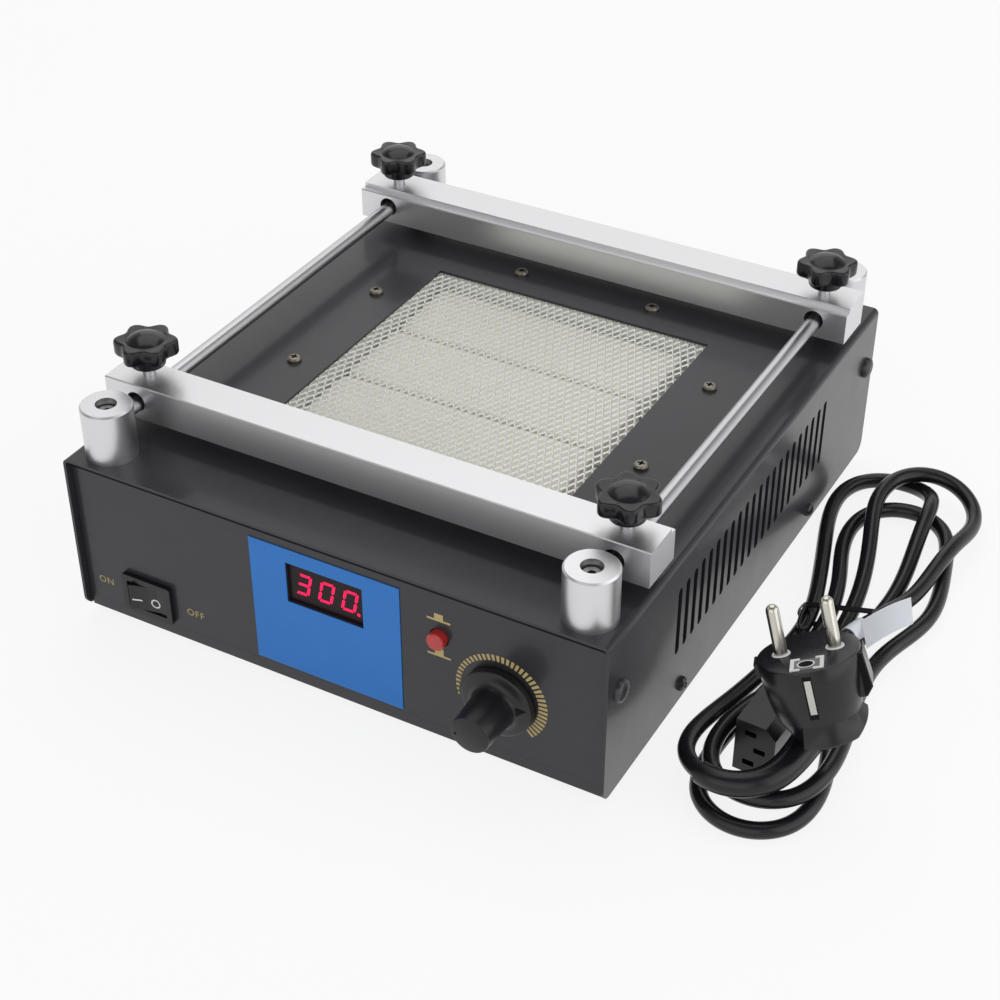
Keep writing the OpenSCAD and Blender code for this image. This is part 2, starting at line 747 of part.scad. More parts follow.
// Six lobes as one smooth wave round the middle
module star_2d() {
  polygon([for (a = [0 : 5 : 355]) (star_base + star_wave / 2 * cos(6 * a)) * [sin(a), cos(a)]]);
}

// Star knob: lobes on a hub, with a dome on top
module star_knob(sx, y) {
  dome_r = (dome_d * dome_d / 4 + dome_h * dome_h) / (2 * dome_h);
  color(black) in_case() translate([sx * post_x, y, hub_z]) difference() {
    union() {
      cylinder(d = hub_d, h = hub_h + eps);
      translate([0, 0, hub_h]) linear_extrude(star_h) star_2d();
      intersection() {
        translate([0, 0, hub_h + star_h + dome_h - dome_r]) sphere(dome_r, $fn = 64);
        translate([0, 0, hub_h + star_h - 0.4]) cylinder(d = star_d, h = 40);
      }
    }
    translate([0, 0, -1]) cylinder(d = stud_d + 2 * run_gap, h = 1 + stud_in + run_gap);
  }
}

module knob_front_left() {
  star_knob(-1, front_rail_y);
}

module knob_front_right() {
  star_knob(1, front_rail_y);
}

module knob_rear_left() {
  star_knob(-1, rear_rail_y);
}

module knob_rear_right() {
  star_knob(1, rear_rail_y);
}

module panel_label() {
  color([0.2, 0.45, 0.78]) in_case() slab_y(front_y - label_t, label_t) difference() {
    translate([label_x, label_z]) square([label_w, label_h], center = true);
    translate([label_x, display_z]) square([display_w, display_h], center = true);
  }
}

// Three figure module, pressed against the back of the panel
module led_display() {
  color([0.15, 0.03, 0.04]) in_case() slab_y(front_in, led_t)
    translate([label_x, display_z]) square([display_w + 3, display_h + 2], center = true);
}

// Upright board behind the panel, with the display and the button on it
module display_board() {
  color([0.1, 0.35, 0.2]) in_case() slab_y(board_y, board_t) difference() {
    translate([board_x, board_z]) square([board_w, board_h], center = true);
    for (sx = [-1, 1], sz = [-1, 1])
      translate([board_x + sx * (board_w / 2 - 4), board_z + sz * (board_h / 2 - 4)]) circle(d = 3.2);
  }
}

module board_standoffs() {
  color(brass) in_case() for (sx = [-1, 1], sz = [-1, 1])
    translate([board_x + sx * (board_w / 2 - 4), front_in, board_z + sz * (board_h / 2 - 4)])
      rotate([-90, 0, 0]) union() {
        cylinder(d = 5.5, h = led_t, $fn = 6);
        cylinder(d = 2.9, h = led_t + board_t + 3);
      }
}

// Rocker switch housing: a bezel outside the panel and a box behind it
module switch_body() {
  inner_x = bezel_w - 2 * bezel_rim;
  inner_z = bezel_h - 2 * bezel_rim;
  color([0.07, 0.07, 0.075]) in_case() translate([switch_x, front_y, switch_z]) difference() {
    union() {
      slab_y(-bezel_t, bezel_t) round_rect(bezel_w, bezel_h, 1.2);
      slab_y(-eps, switch_depth) square([bezel_w - bezel_rim, bezel_h - bezel_rim], center = true);
      for (i = [-1 : 1]) translate([i * 6 - 0.4, switch_depth - 1, -2.4]) cube([0.8, 8, 4.8]);
    }
    slab_y(-bezel_t - 1, bezel_t + 8) square([inner_x, inner_z], center = true);
    translate([0, pivot_in, 0])
      cylinder(d = pin_d + 2 * run_gap, h = bezel_h - 2 * bezel_rim + 2, center = true);
  }
}

// Rocker, resting with its left end pressed in
module switch_rocker() {
  inner_z = bezel_h - 2 * bezel_rim - 0.8;
  proud = bezel_t + pivot_in;
  color([0.1, 0.1, 0.105]) in_case() translate([switch_x, front_y + pivot_in, switch_z])
    rotate([0, 0, rocker_tilt]) union() {
      linear_extrude(inner_z, center = true) polygon([
        [-rocker_half, -rocker_reach], [-rocker_half / 2, -proud + 0.1], [0, -proud + 0.3],
        [rocker_half / 2, -proud + 0.1], [rocker_half, -rocker_reach], [rocker_half - 0.6, 0], [3, 3],
        [-3, 3], [-rocker_half + 0.6, 0]]);
      cylinder(d = pin_d, h = inner_z + 2.4, center = true);
    }
}

module button_cap() {
  edge = 0.5;
  tip = button_out + button_stem;
  color([0.75, 0.12, 0.12]) in_case() translate([button_x, front_y - button_out, button_z])
    rotate([-90, 0, 0]) rotate_extrude() polygon([[0, 0], [button_d / 2 - edge, 0], [button_d / 2, edge],
      [button_d / 2, button_out + 2], [1.5, button_out + 2], [1.5, tip], [0, tip]]);
}

// Push switch on the display board, with a socket for the cap's stem
module button_switch() {
  face = front_in + button_travel + 1.2;
  color([0.85, 0.85, 0.82]) in_case() difference() {
    slab_y(face, board_y - face) translate([button_x, button_z]) square([7.5, 7.5], center = true);
    bar_y(button_x, button_z, 3 + 2 * run_gap, face - 1, board_y - 0.3);
  }
}

// Potentiometer body and its threaded bush through the panel
module pot_body() {
  color(steel) in_case() difference() {
    union() {
      bar_y(dial_x, dial_z, pot_d, front_in, front_in + pot_len);
      bar_y(dial_x, dial_z, bush_d, front_y - nut_h - 0.3, front_in + eps);
      for (i = [-1 : 1])
        translate([dial_x + i * 4 - 0.6, front_in + 2, dial_z - pot_d / 2 - 5]) cube([1.2, 0.8, 8]);
    }
    bar_y(dial_x, dial_z, shaft_d + 2 * run_gap, front_y - 10, front_in + pot_len - 1.5);
  }
}

module pot_nut() {
  color(steel) in_case() translate([dial_x, front_y - nut_h, dial_z]) rotate([-90, 0, 0]) difference() {
    cylinder(d = 10 / cos(30), h = nut_h, $fn = 6);
    translate([0, 0, -1]) cylinder(d = bush_d + 0.1, h = nut_h + 2);
  }
}

module pot_shaft() {
  color(alu) in_case() bar_y(dial_x, dial_z, shaft_d, front_y - dial_out + 5, front_in + pot_len - 2);
}

// Dial knob: a wide dished skirt, a slim grip, a pointer notch and a dot
module temperature_knob() {
  len = dial_out - skirt_gap;
  skirt_t = 3.2;
  root_d = grip_d + 2.6;
  blend = 3;
  flare = [for (a = [0 : 15 : 90]) [root_d / 2 + blend * (1 - sin(a)), skirt_t + blend * (1 - cos(a))]];
  outline = concat([[0, 0], [skirt_d / 2, 0], [skirt_d / 2, 1.4], [skirt_d / 2 - 1, skirt_t - 0.6]], flare,
    [[grip_d / 2, len - 0.5], [grip_d / 2 - 0.5, len], [0, len]]);
  color([0.08, 0.08, 0.09]) in_case() translate([dial_x, front_y - skirt_gap, dial_z])
    rotate([90, 0, 0]) difference() {
      rotate_extrude($fn = 96) polygon(outline);
      translate([0, 0, -1]) cylinder(d = pin_clear, h = 1 + len - 5 + run_gap);
      rotate(-30) translate([0, 0, skirt_t - 1]) linear_extrude(4)
        polygon([[skirt_d / 2 - 4.6, -1.5], [skirt_d / 2 - 0.8, 0], [skirt_d / 2 - 4.6, 1.5]]);
      rotate(150) translate([grip_d / 2 - 2, 0, len - 0.4]) cylinder(d = 1.2, h = 2);
    }
}

// Power board on the chassis floor behind the front panel
module control_board() {
  color([0.1, 0.35, 0.2]) in_case() translate([0, 0, control_z]) difference() {
    translate([-control_w / 2, control_y - control_d / 2, 0]) cube([control_w, control_d, board_t]);
    for (x = control_cols, y = control_rows) translate([x, y, -1]) cylinder(d = hole_d, h = board_t + 2);
  }
}

module control_standoffs() {
  thread_d = screw_d - 0.1;
  color(brass) in_case() for (x = control_cols, y = control_rows) translate([x, y, sheet_t]) union() {
    cylinder(d = 5.5, h = standoff_h, $fn = 6);
    translate([0, 0, -sheet_t]) cylinder(d = thread_d, h = sheet_t + standoff_h + board_t + 2);
  }
}

// Small mains transformer: laminated core with its winding
module transformer() {
  core_d = core_w * 0.42;
  coil_w = core_w * 0.68;
  coil_d = core_w * 0.74;
  coil_h = core_h * 0.74;
  color([0.45, 0.43, 0.4]) in_case() translate([-control_w * 0.29, control_y, control_z + board_t]) union() {
    translate([-core_w / 2, -core_d / 2, 0]) cube([core_w, core_d, core_h]);
    translate([-coil_w / 2, -coil_d / 2, (core_h - coil_h) / 2]) cube([coil_w, coil_d, coil_h]);
  }
}

// Finned heat sink for the power switch
module heat_sink() {
  fins = 7;
  fin_t = 1.6;
  base_t = 4;
  fin_d = sink_w * 0.55;
  pitch = (sink_w - fin_t) / (fins - 1);
  color(alu) in_case() translate([control_w * 0.28, control_y, control_z + board_t]) union() {
    translate([-sink_w / 2, -base_t / 2, 0]) cube([sink_w, base_t, sink_h]);
    for (i = [0 : fins - 1])
      translate([-sink_w / 2 + i * pitch, -fin_d / 2, 0]) cube([fin_t, fin_d, sink_h]);
  }
}

// Appliance inlet in the rear panel, held by two screws
module mains_inlet() {
  color([0.06, 0.06, 0.065]) in_case() translate([inlet_x, panel_y, inlet_z]) difference() {
    union() {
      slab_y(0, 2.4) round_rect(50, 23, 3);
      slab_y(-20, 20 + eps) inlet_outline(inlet_w, inlet_h, 5);
    }
    slab_y(-16, 30) inlet_outline(inlet_w - 3, inlet_h - 3.6, 4.4);
    for (s = [-1, 1]) bar_y(s * ear_pitch / 2, 0, hole_d, -5, 5);
    for (p = inlet_pin_at) slab_y(-25, 12) translate(p) square([2.2, 4.2], center = true);
  }
}

module inlet_pins() {
  color(brass) in_case() translate([inlet_x, panel_y, inlet_z])
    for (p = inlet_pin_at) slab_y(-26, 22) translate(p) square([2, 4], center = true);
}

module inlet_screws() {
  color(steel) in_case() for (s = [-1, 1]) translate([inlet_x + s * ear_pitch / 2, panel_y + 2.4, inlet_z])
    rotate([-90, 0, 0]) union() {
      cylinder(d1 = 5.2, d2 = 4.2, h = 0.6);
      translate([0, 0, -7]) cylinder(d = screw_d, h = 7);
    }
}

// Smooth curve led by the route's points, at u from 0 to 1
function along(p, u) =
  let (n = len(p) - 1, s = min(u * n, n - 0.000001), i = floor(s), t = s - i, b = p[i], c = p[i + 1],
    a = i > 0 ? p[i - 1] : 2 * b - c, d = i < n - 1 ? p[i + 2] : 2 * c - b)
  ((1 - t) ^ 3 * a + (3 * t ^ 3 - 6 * t ^ 2 + 4) * b + (3 * t * (1 + t - t * t) + 1) * c + t ^ 3 * d) / 6;

// Unit direction of the curve at u
function heading(p, u) =
  let (d = along(p, min(u + 0.001, 1)) - along(p, max(u - 0.001, 0)))
  d / norm(d);

// Rounded outline at a distance from a path that goes counterclockwise
function edge_turn(path, i) = let (v = path[(i + 1) % len(path)] - path[i]) atan2(v[1], v[0]);
function round_path(path, r, steps) = [for (i = [0 : len(path) - 1])
  let (a = edge_turn(path, (i + len(path) - 1) % len(path)) - 90,
    turn = (edge_turn(path, i) - 90 - a + 720) % 360)
  for (k = [0 : steps]) path[i] + r * [cos(a + turn * k / steps), sin(a + turn * k / steps)]];

// Keeps the lead beside the case when the case's width changes
module at_lead() {
  translate([lead_shift, 0, 0]) children();
}

// The cable as one swept tube
module mains_cord() {
  us = [for (i = [0 : cable_rings - 1]) i / (cable_rings - 1)];
  rings = [for (u = us)
    let (d = heading(route, u), side = cross([0, 0, 1], d) / norm(cross([0, 0, 1], d)), up = cross(d, side))
    for (k = [0 : cable_sides - 1])
      along(route, u) + cable_d / 2 * (cos(360 * k / cable_sides) * side + sin(360 * k / cable_sides) * up)];
  walls = [for (i = [0 : cable_rings - 2], k = [0 : cable_sides - 1])
    let (a = i * cable_sides + k, b = i * cable_sides + (k + 1) % cable_sides)
    for (f = [[a, a + cable_sides, b], [b, a + cable_sides, b + cable_sides]]) f];
  first = [[for (k = [0 : cable_sides - 1]) k]];
  last = [[for (k = [cable_sides - 1 : -1 : 0]) (cable_rings - 1) * cable_sides + k]];
  color([0.05, 0.05, 0.055]) at_lead() polyhedron(points = rings, faces = concat(first, walls, last));
}

// Moves from the plug's own frame, with its face at z = 0 and pins up, to the row frame
module at_plug() {
  translate(plug_at) rotate([plug_lean[0], 0, 0]) rotate([0, plug_lean[1], 0])
    rotate([0, 0, plug_lean[2]]) children();
}

// Turns +Z to the cable's direction at its start and moves there
module at_cable_start() {
  d = heading(route, 0);
  translate(route[0]) rotate([0, acos(d[2]), atan2(d[1], d[0])]) children();
}

// Moulded plug: round front with two earth grooves, then a flat grip with a strain relief
module plug_body() {
  color([0.06, 0.06, 0.065]) at_lead() difference() {
    union() {
      plug_block();
      at_cable_start() translate([0, 0, -8]) cylinder(d1 = 12, d2 = cable_d + 2.2, h = 20);
    }
    at_cable_start() cylinder(d = cable_d + 0.5, h = 30);
  }
}

// Plug without its strain relief: bevelled round front, side grips, earth grooves, lip and grip
module plug_block() {
  bevel = 1.2;
  lip_t = 6;
  lip_d = plug_body_d + 5;
  groove_w = 4;
  side_w = 14;
  wing = 2.4;
  taper = 2.2;
  at_plug() difference() {
    union() {
      rotate_extrude() polygon([[0, -plug_len], [plug_body_d / 2 - taper, -plug_len],
        [plug_body_d / 2, -bevel], [plug_body_d / 2 - bevel, 0], [0, 0]]);
      // Grip down the right side, and a short shoulder at the left
      translate([0, -side_w / 2, -plug_len]) cube([plug_body_d / 2 + wing, side_w, plug_len - 2]);
      translate([-plug_body_d / 2 - wing, -side_w / 2, -9]) cube([plug_body_d / 2, side_w, 7]);
      // Flared lip that the fingers pull on
      translate([0, 0, -plug_len - lip_t]) intersection() {
        cylinder(d1 = lip_d, d2 = plug_body_d - 2 * taper, h = lip_t + eps);
        translate([-9, -lip_d / 2, -1]) cube([lip_d, 0.8 * lip_d, lip_t + 2]);
      }
      translate([0, -side_w / 2 + 1, -plug_len - lip_t]) cube([lip_d / 2 + 1.5, side_w - 2, lip_t + 4]);
      translate([-12, -6, -plug_len - grip_len]) cube([20, 18, grip_len + eps]);
    }
    for (s = [-1, 1]) {
      translate([-groove_w / 2, s * plug_body_d / 2 - 1.7, -plug_len + 1])
        cube([groove_w, 3.4, plug_len - 4.5]);
      translate([s * pin_pitch / 2, 0, -pin_root]) cylinder(d = plug_pin_d + 0.1, h = 2 * pin_root);
    }
    // Earth socket, its contact's seat and the rear contact's seat
    translate([0, -earth_y, -16]) cylinder(d = plug_pin_d, h = 20);
    translate([-5.5, -earth_y - 4.6, -0.4]) cube([11, 9.2, 1]);
    translate([-3, earth_y + 3.9, -0.4]) cube([6, 1.4, 1]);
  }
}

module plug_pins() {
  straight = pin_root + pin_len - plug_pin_d / 2;
  color([0.78, 0.77, 0.74]) at_lead() at_plug() for (s = [-1, 1])
    translate([s * pin_pitch / 2, 0, -pin_root]) union() {
      cylinder(d = plug_pin_d, h = straight);
      translate([0, 0, straight]) sphere(d = plug_pin_d);
    }
}

// Earth clips in the two grooves
module plug_earth() {
  strip_w = 3.2;
  strip_len = plug_len - 8.5;
  color([0.78, 0.77, 0.74]) at_lead() at_plug() {
    for (s = [-1, 1]) translate([-strip_w / 2, s * (plug_body_d / 2 - 1.1) - 0.4, -strip_len - 4.2])
      cube([strip_w, 0.8, strip_len]);
    difference() {
      translate([-5.4, -earth_y - 4.5, -0.35]) cube([10.8, 9, 0.5]);
      translate([0, -earth_y, -1]) cylinder(d = plug_pin_d + 0.6, h = 2);
    }
    translate([-2.9, earth_y + 4, -0.35]) cube([5.8, 1.2, 0.5]);
  }
}

// Moves from the connector's own frame, with its face at y = 0 and its cable along +Y, to the row frame
module at_connector() {
  translate(connector_at) rotate([0, 0, connector_turn]) rotate([0, 90, 0]) children();
}

// Appliance connector: chamfered body with three slots, then a tapered strain relief
module cord_connector() {
  color([0.06, 0.06, 0.065]) at_lead() at_connector() difference() {
    union() {
      slab_y(0, connector_len - 10) inlet_outline(inlet_w - 3.4, inlet_h - 4, 4.2);
      translate([0, connector_len - 10, 0]) rotate([-90, 0, 0]) cylinder(d1 = 16, d2 = 12, h = 10);
      translate([0, connector_len - eps, 0]) rotate([-90, 0, 0])
        cylinder(d1 = 10.5, d2 = cable_d + 1.8, h = relief_len);
    }
    for (p = inlet_pin_at) slab_y(-1, 18) translate(p) square([2.4, 4.6], center = true);
    translate([0, connector_len + 4, 0]) rotate([-90, 0, 0]) cylinder(d = cable_d + 0.3, h = relief_len);
  }
}

// Wire tie round the folded cable
module cord_tie() {
  color([0.05, 0.05, 0.05]) at_lead() slab_y(tie_y - tie_w / 2, tie_w) difference() {
    polygon(round_path(tie_path, tie_r + tie_t, 6));
    polygon(round_path(tie_path, tie_r, 6));
  }
}

// Blank paper flag, wrapped round the cable
module cord_tag() {
  u = (len(route) - 4) / (len(route) - 1);
  d = heading(route, u);
  flag = [24, 22];
  color([0.92, 0.92, 0.93]) at_lead() translate(along(route, u)) difference() {
    union() {
      rotate([0, acos(d[2]), atan2(d[1], d[0])]) cylinder(d = cable_d + 1.8, h = 12, center = true);
      rotate([0, 0, 44]) rotate([0, -19, 0]) translate([-1.5, 6 - flag[1], cable_d / 2])
        cube([flag[0], flag[1], 0.5]);
    }
    rotate([0, acos(d[2]), atan2(d[1], d[0])]) cylinder(d = cable_d + 0.5, h = 40, center = true);
  }
}

top_cover();
chassis();
cover_screws();
rubber_feet();
foot_screws();
mesh_guard();
heater_tray();
heater_tile_front();
heater_tile_middle();
heater_tile_rear();
thermocouple();
terminal_block();
deck_screws();
deck_nuts();
post_front_left();
post_front_right();
post_rear_left();
post_rear_right();
post_screws();
post_nuts();
rod_left();
rod_right();
rail_front();
rail_rear();
stud_front_left();
stud_front_right();
stud_rear_left();
stud_rear_right();
knob_front_left();
knob_front_right();
knob_rear_left();
knob_rear_right();
panel_label();
led_display();
display_board();
board_standoffs();
switch_body();
switch_rocker();
button_cap();
button_switch();
pot_body();
pot_nut();
pot_shaft();
temperature_knob();
control_board();
control_standoffs();
transformer();
heat_sink();
mains_inlet();
inlet_pins();
inlet_screws();
mains_cord();
plug_body();
plug_pins();
plug_earth();
cord_connector();
cord_tie();
cord_tag();
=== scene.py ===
import json
import math

import bpy
from mathutils import Matrix, Vector


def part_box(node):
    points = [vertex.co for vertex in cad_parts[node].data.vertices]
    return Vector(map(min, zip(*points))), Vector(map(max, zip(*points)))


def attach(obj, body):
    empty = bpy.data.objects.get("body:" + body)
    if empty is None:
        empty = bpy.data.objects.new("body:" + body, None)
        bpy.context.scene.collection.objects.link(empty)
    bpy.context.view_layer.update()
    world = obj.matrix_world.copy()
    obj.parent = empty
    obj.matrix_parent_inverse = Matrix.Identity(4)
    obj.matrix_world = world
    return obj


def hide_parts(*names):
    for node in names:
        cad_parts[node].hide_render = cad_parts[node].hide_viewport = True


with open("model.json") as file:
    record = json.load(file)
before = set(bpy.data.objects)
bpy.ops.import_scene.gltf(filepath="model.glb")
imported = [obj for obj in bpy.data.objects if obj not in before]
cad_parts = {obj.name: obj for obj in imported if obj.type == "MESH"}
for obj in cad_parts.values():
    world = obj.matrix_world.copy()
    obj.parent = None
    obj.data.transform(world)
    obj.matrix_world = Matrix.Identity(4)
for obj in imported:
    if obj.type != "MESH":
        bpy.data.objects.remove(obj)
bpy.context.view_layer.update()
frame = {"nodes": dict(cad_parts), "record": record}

scene = bpy.context.scene
scene.view_settings.view_transform = "Standard"
# Where the case's own origin lies in the row frame, in millimetres
CASE_Y, CASE_Z = 10.25, 4


def case(x, y, z):
    """A point given in the case's own millimetres, in the row frame in metres."""
    return Vector((x, y + CASE_Y, z + CASE_Z)) / 1000


# Camera, fitted to the case's corners, posts and rods
eye = Vector((0.32921, -0.57959, 0.50282))
aim = Vector((0.03663, -0.04344, 0.04583))
roll = math.radians(0.297)
forward = (aim - eye).normalized()
flat = forward.cross(Vector((0, 0, 1))).normalized()
upright = flat.cross(forward)
right = flat * math.cos(roll) + upright * math.sin(roll)
up = upright * math.cos(roll) - flat * math.sin(roll)
camera = bpy.data.objects.new("camera", bpy.data.cameras.new("camera"))
camera.data.lens = 70.22
camera.data.sensor_width = 36
camera.data.shift_x = -0.0096
camera.data.shift_y = 0.0344
camera.data.clip_start = 0.01
camera.matrix_world = Matrix.Translation(eye) @ Matrix((right, up, -forward)).transposed().to_4x4()
scene.collection.objects.link(camera)
scene.camera = camera


# Materials
def link(tree, a, b):
    tree.links.new(a, b)


def new_material(name):
    m = bpy.data.materials.new(name)
    m.use_nodes = True
    return m, m.node_tree, m.node_tree.nodes["Principled BSDF"]


def noise(tree, scale, detail):
    coords = tree.nodes.new("ShaderNodeTexCoord")
    tex = tree.nodes.new("ShaderNodeTexNoise")
    tex.inputs["Scale"].default_value = scale
    tex.inputs["Detail"].default_value = detail
    link(tree, coords.outputs["Object"], tex.inputs["Vector"])
    return tex.outputs["Fac"]


def spread(tree, value, low, high):
    """The middle of a noise's range, stretched from low to high."""
    ramp = tree.nodes.new("ShaderNodeMapRange")
    ramp.inputs["From Min"].default_value = 0.3
    ramp.inputs["From Max"].default_value = 0.7
    ramp.inputs["To Min"].default_value = low
    ramp.inputs["To Max"].default_value = high
    link(tree, value, ramp.inputs["Value"])
    return ramp.outputs["Result"]


def surface(name, color, rough, metal=0.0, grain=0.0, grain_scale=1500.0, vary=0.0, rough_vary=0.0,
            coat=0.0, specular=0.5, glow=0.0):
    """A material with a fine grain and slight changes of colour and roughness, where given."""
    m, tree, shader = new_material(name)
    shader.inputs["Base Color"].default_value = (*color, 1)
    shader.inputs["Roughness"].default_value = rough
    shader.inputs["Metallic"].default_value = metal
    shader.inputs["Specular IOR Level"].default_value = specular
    shader.inputs["Coat Weight"].default_value = coat
    shader.inputs["Coat Roughness"].default_value = 0.12
    if glow:
        shader.inputs["Emission Color"].default_value = (*color, 1)
        shader.inputs["Emission Strength"].default_value = glow
    if grain:
        bump = tree.nodes.new("ShaderNodeBump")
        bump.inputs["Strength"].default_value = grain
        bump.inputs["Distance"].default_value = 0.0002
        link(tree, noise(tree, grain_scale, 2), bump.inputs["Height"])
        link(tree, bump.outputs["Normal"], shader.inputs["Normal"])
    if vary:
        mix = tree.nodes.new("ShaderNodeMix")
        mix.data_type = "RGBA"
        mix.inputs["A"].default_value = (*[c * (1 - vary) for c in color], 1)
        mix.inputs["B"].default_value = (*[min(1, c * (1 + vary)) for c in color], 1)
        link(tree, spread(tree, noise(tree, 60, 4), 0, 1), mix.inputs["Factor"])
        link(tree, mix.outputs["Result"], shader.inputs["Base Color"])
    if rough_vary:
        uneven = spread(tree, noise(tree, 90, 5), rough - rough_vary, rough + rough_vary)
        link(tree, uneven, shader.inputs["Roughness"])
    return m


MATERIALS = {
    "black_paint": surface("powder_coat", (0.030, 0.030, 0.034), 0.32, grain=0.08, grain_scale=2600,
                           vary=0.06, rough_vary=0.02, specular=0.24, coat=0.28),
    "aluminium": surface("satin_aluminium", (0.70, 0.70, 0.71), 0.36, 1.0, grain=0.14, grain_scale=2200),
    "steel": surface("steel", (0.56, 0.56, 0.57), 0.30, 1.0, grain=0.04, grain_scale=900),
    "dark_screw": surface("dark_screw", (0.06, 0.06, 0.063), 0.34, 0.6, grain=0.05, rough_vary=0.05),
    "mesh_steel": surface("mesh_metal", (0.84, 0.84, 0.81), 0.36, 0.8),
    "tray_steel": surface("tray_steel", (0.92, 0.92, 0.89), 0.45, 0.2, rough_vary=0.06),
    "ceramic": surface("ceramic", (0.90, 0.88, 0.78), 0.45, vary=0.03, grain=0.05, grain_scale=700),
    "rubber": surface("rubber", (0.02, 0.02, 0.02), 0.75, grain=0.1, grain_scale=1200),
    "black_plastic": surface("black_plastic", (0.009, 0.009, 0.011), 0.34, grain=0.05, grain_scale=1800,
                             rough_vary=0.03, specular=0.4),
    "gloss_black": surface("gloss_black", (0.006, 0.006, 0.008), 0.22, rough_vary=0.03, specular=0.45),
    "label_blue": surface("label_blue", (0.036, 0.21, 0.62), 0.45, grain=0.03, grain_scale=1600, vary=0.02,
                          specular=0.25),
    "display_red": surface("display_red", (0.012, 0.003, 0.004), 0.35, specular=0.2),
    "board_green": surface("board_green", (0.02, 0.14, 0.05), 0.35, vary=0.1),
    "brass": surface("brass", (0.75, 0.56, 0.26), 0.28, 1.0, rough_vary=0.05),
    "button_red": surface("button_red", (0.52, 0.030, 0.030), 0.28, coat=0.2, rough_vary=0.03),
    "white_plastic": surface("white_plastic", (0.78, 0.78, 0.75), 0.35, rough_vary=0.04),
    "core": surface("core", (0.16, 0.14, 0.12), 0.5, 0.4, vary=0.2),
    "cable_black": surface("cable_black", (0.007, 0.007, 0.009), 0.27, grain=0.03, grain_scale=1200,
                           rough_vary=0.03, specular=0.4),
    "nickel": surface("nickel", (0.58, 0.56, 0.50), 0.22, 1.0, rough_vary=0.03),
    "paper": surface("paper", (0.76, 0.78, 0.83), 0.5, vary=0.02),
}
GOLD = surface("gold_print", (0.52, 0.41, 0.18), 0.5, vary=0.08, specular=0.3)
WHITE_PRINT = surface("white_print", (0.78, 0.78, 0.78), 0.5, vary=0.03)
LED_LIT = surface("led_lit", (0.84, 0.012, 0.085), 0.5, glow=1.0, vary=0.02, specular=0.1)
SATIN = surface("satin_nickel", (0.56, 0.55, 0.50), 0.5, 0.3, vary=0.05)
DULL = surface("dull_nickel", (0.21, 0.20, 0.18), 0.5, 0.3, vary=0.05)
# Painted shade: a near-black sheet laid where recesses, gaps and holes fall into shade
PAINTED_SHADE = surface("recess", (0.008, 0.008, 0.008), 0.7, vary=0.1, specular=0.1)

# Nodes that look different from the rest of their slot
LOOKS = {
    "deck_screws": surface("deck_screw", (0.22, 0.20, 0.17), 0.36, 1.0, rough_vary=0.05),
    "post_screws": surface("post_screw", (0.30, 0.30, 0.30), 0.40, 1.0, rough_vary=0.05),
}

for part in frame["record"]["subparts"]:
    mesh = frame["nodes"][part["node"]].data
    mesh.materials.clear()
    mesh.materials.append(LOOKS.get(part["node"], MATERIALS[part["material_slot"]]))


# Pieces
def piece(name, verts, faces, slot, body="case", material=None, smooth=False, replaces=()):
    """A mesh object that rides a body, in its slot's material unless another is given."""
    mesh = bpy.data.meshes.new(name)
    mesh.from_pydata([tuple(v) for v in verts], [], faces)
    mesh.validate()
    mesh.update()
    if smooth:
        mesh.polygons.foreach_set("use_smooth", [True] * len(mesh.polygons))
    obj = bpy.data.objects.new(name, mesh)
    scene.collection.objects.link(obj)
    mesh.materials.append(material or MATERIALS[slot])
    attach(obj, body)
    if replaces:
        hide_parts(*replaces)
    return obj


def turns(count):
    """Angles that share out a full turn."""
    return [2 * math.pi * k / count for k in range(count)]


def stacked(rows, around, top=True, bottom=True, flipped=False):
    """Faces between rings of points that follow each other, with the ends closed where asked."""
    faces = []
    for n in range(rows - 1):
        for k in range(around):
            m = (k + 1) % around
            faces.append([n * around + k, n * around + m, (n + 1) * around + m, (n + 1) * around + k])
    if top:
        faces.append([(rows - 1) * around + k for k in range(around)])
    if bottom:
        faces.append(list(reversed(range(around))))
    return [face[::-1] for face in faces] if flipped else faces


def tube(points, radii, sides):
    """Rings round a line of points, as verts and faces."""
    side = Vector((0.3, 0.2, 1))
    verts = []
    for i, (p, r) in enumerate(zip(points, radii)):
        before, after = points[max(i - 1, 0)], points[min(i + 1, len(points) - 1)]
        ahead = (after - before).normalized()
        side = (side - ahead * side.dot(ahead)).normalized()
        other = ahead.cross(side)
        verts += [p + r * (side * math.cos(a) + other * math.sin(a)) for a in turns(sides)]
    return verts, stacked(len(points), sides)


def merged(*shapes):
    """Several (verts, faces) in one."""
    verts, faces = [], []
    for v, f in shapes:
        faces += [[i + len(verts) for i in face] for face in f]
        verts += v
    return verts, faces


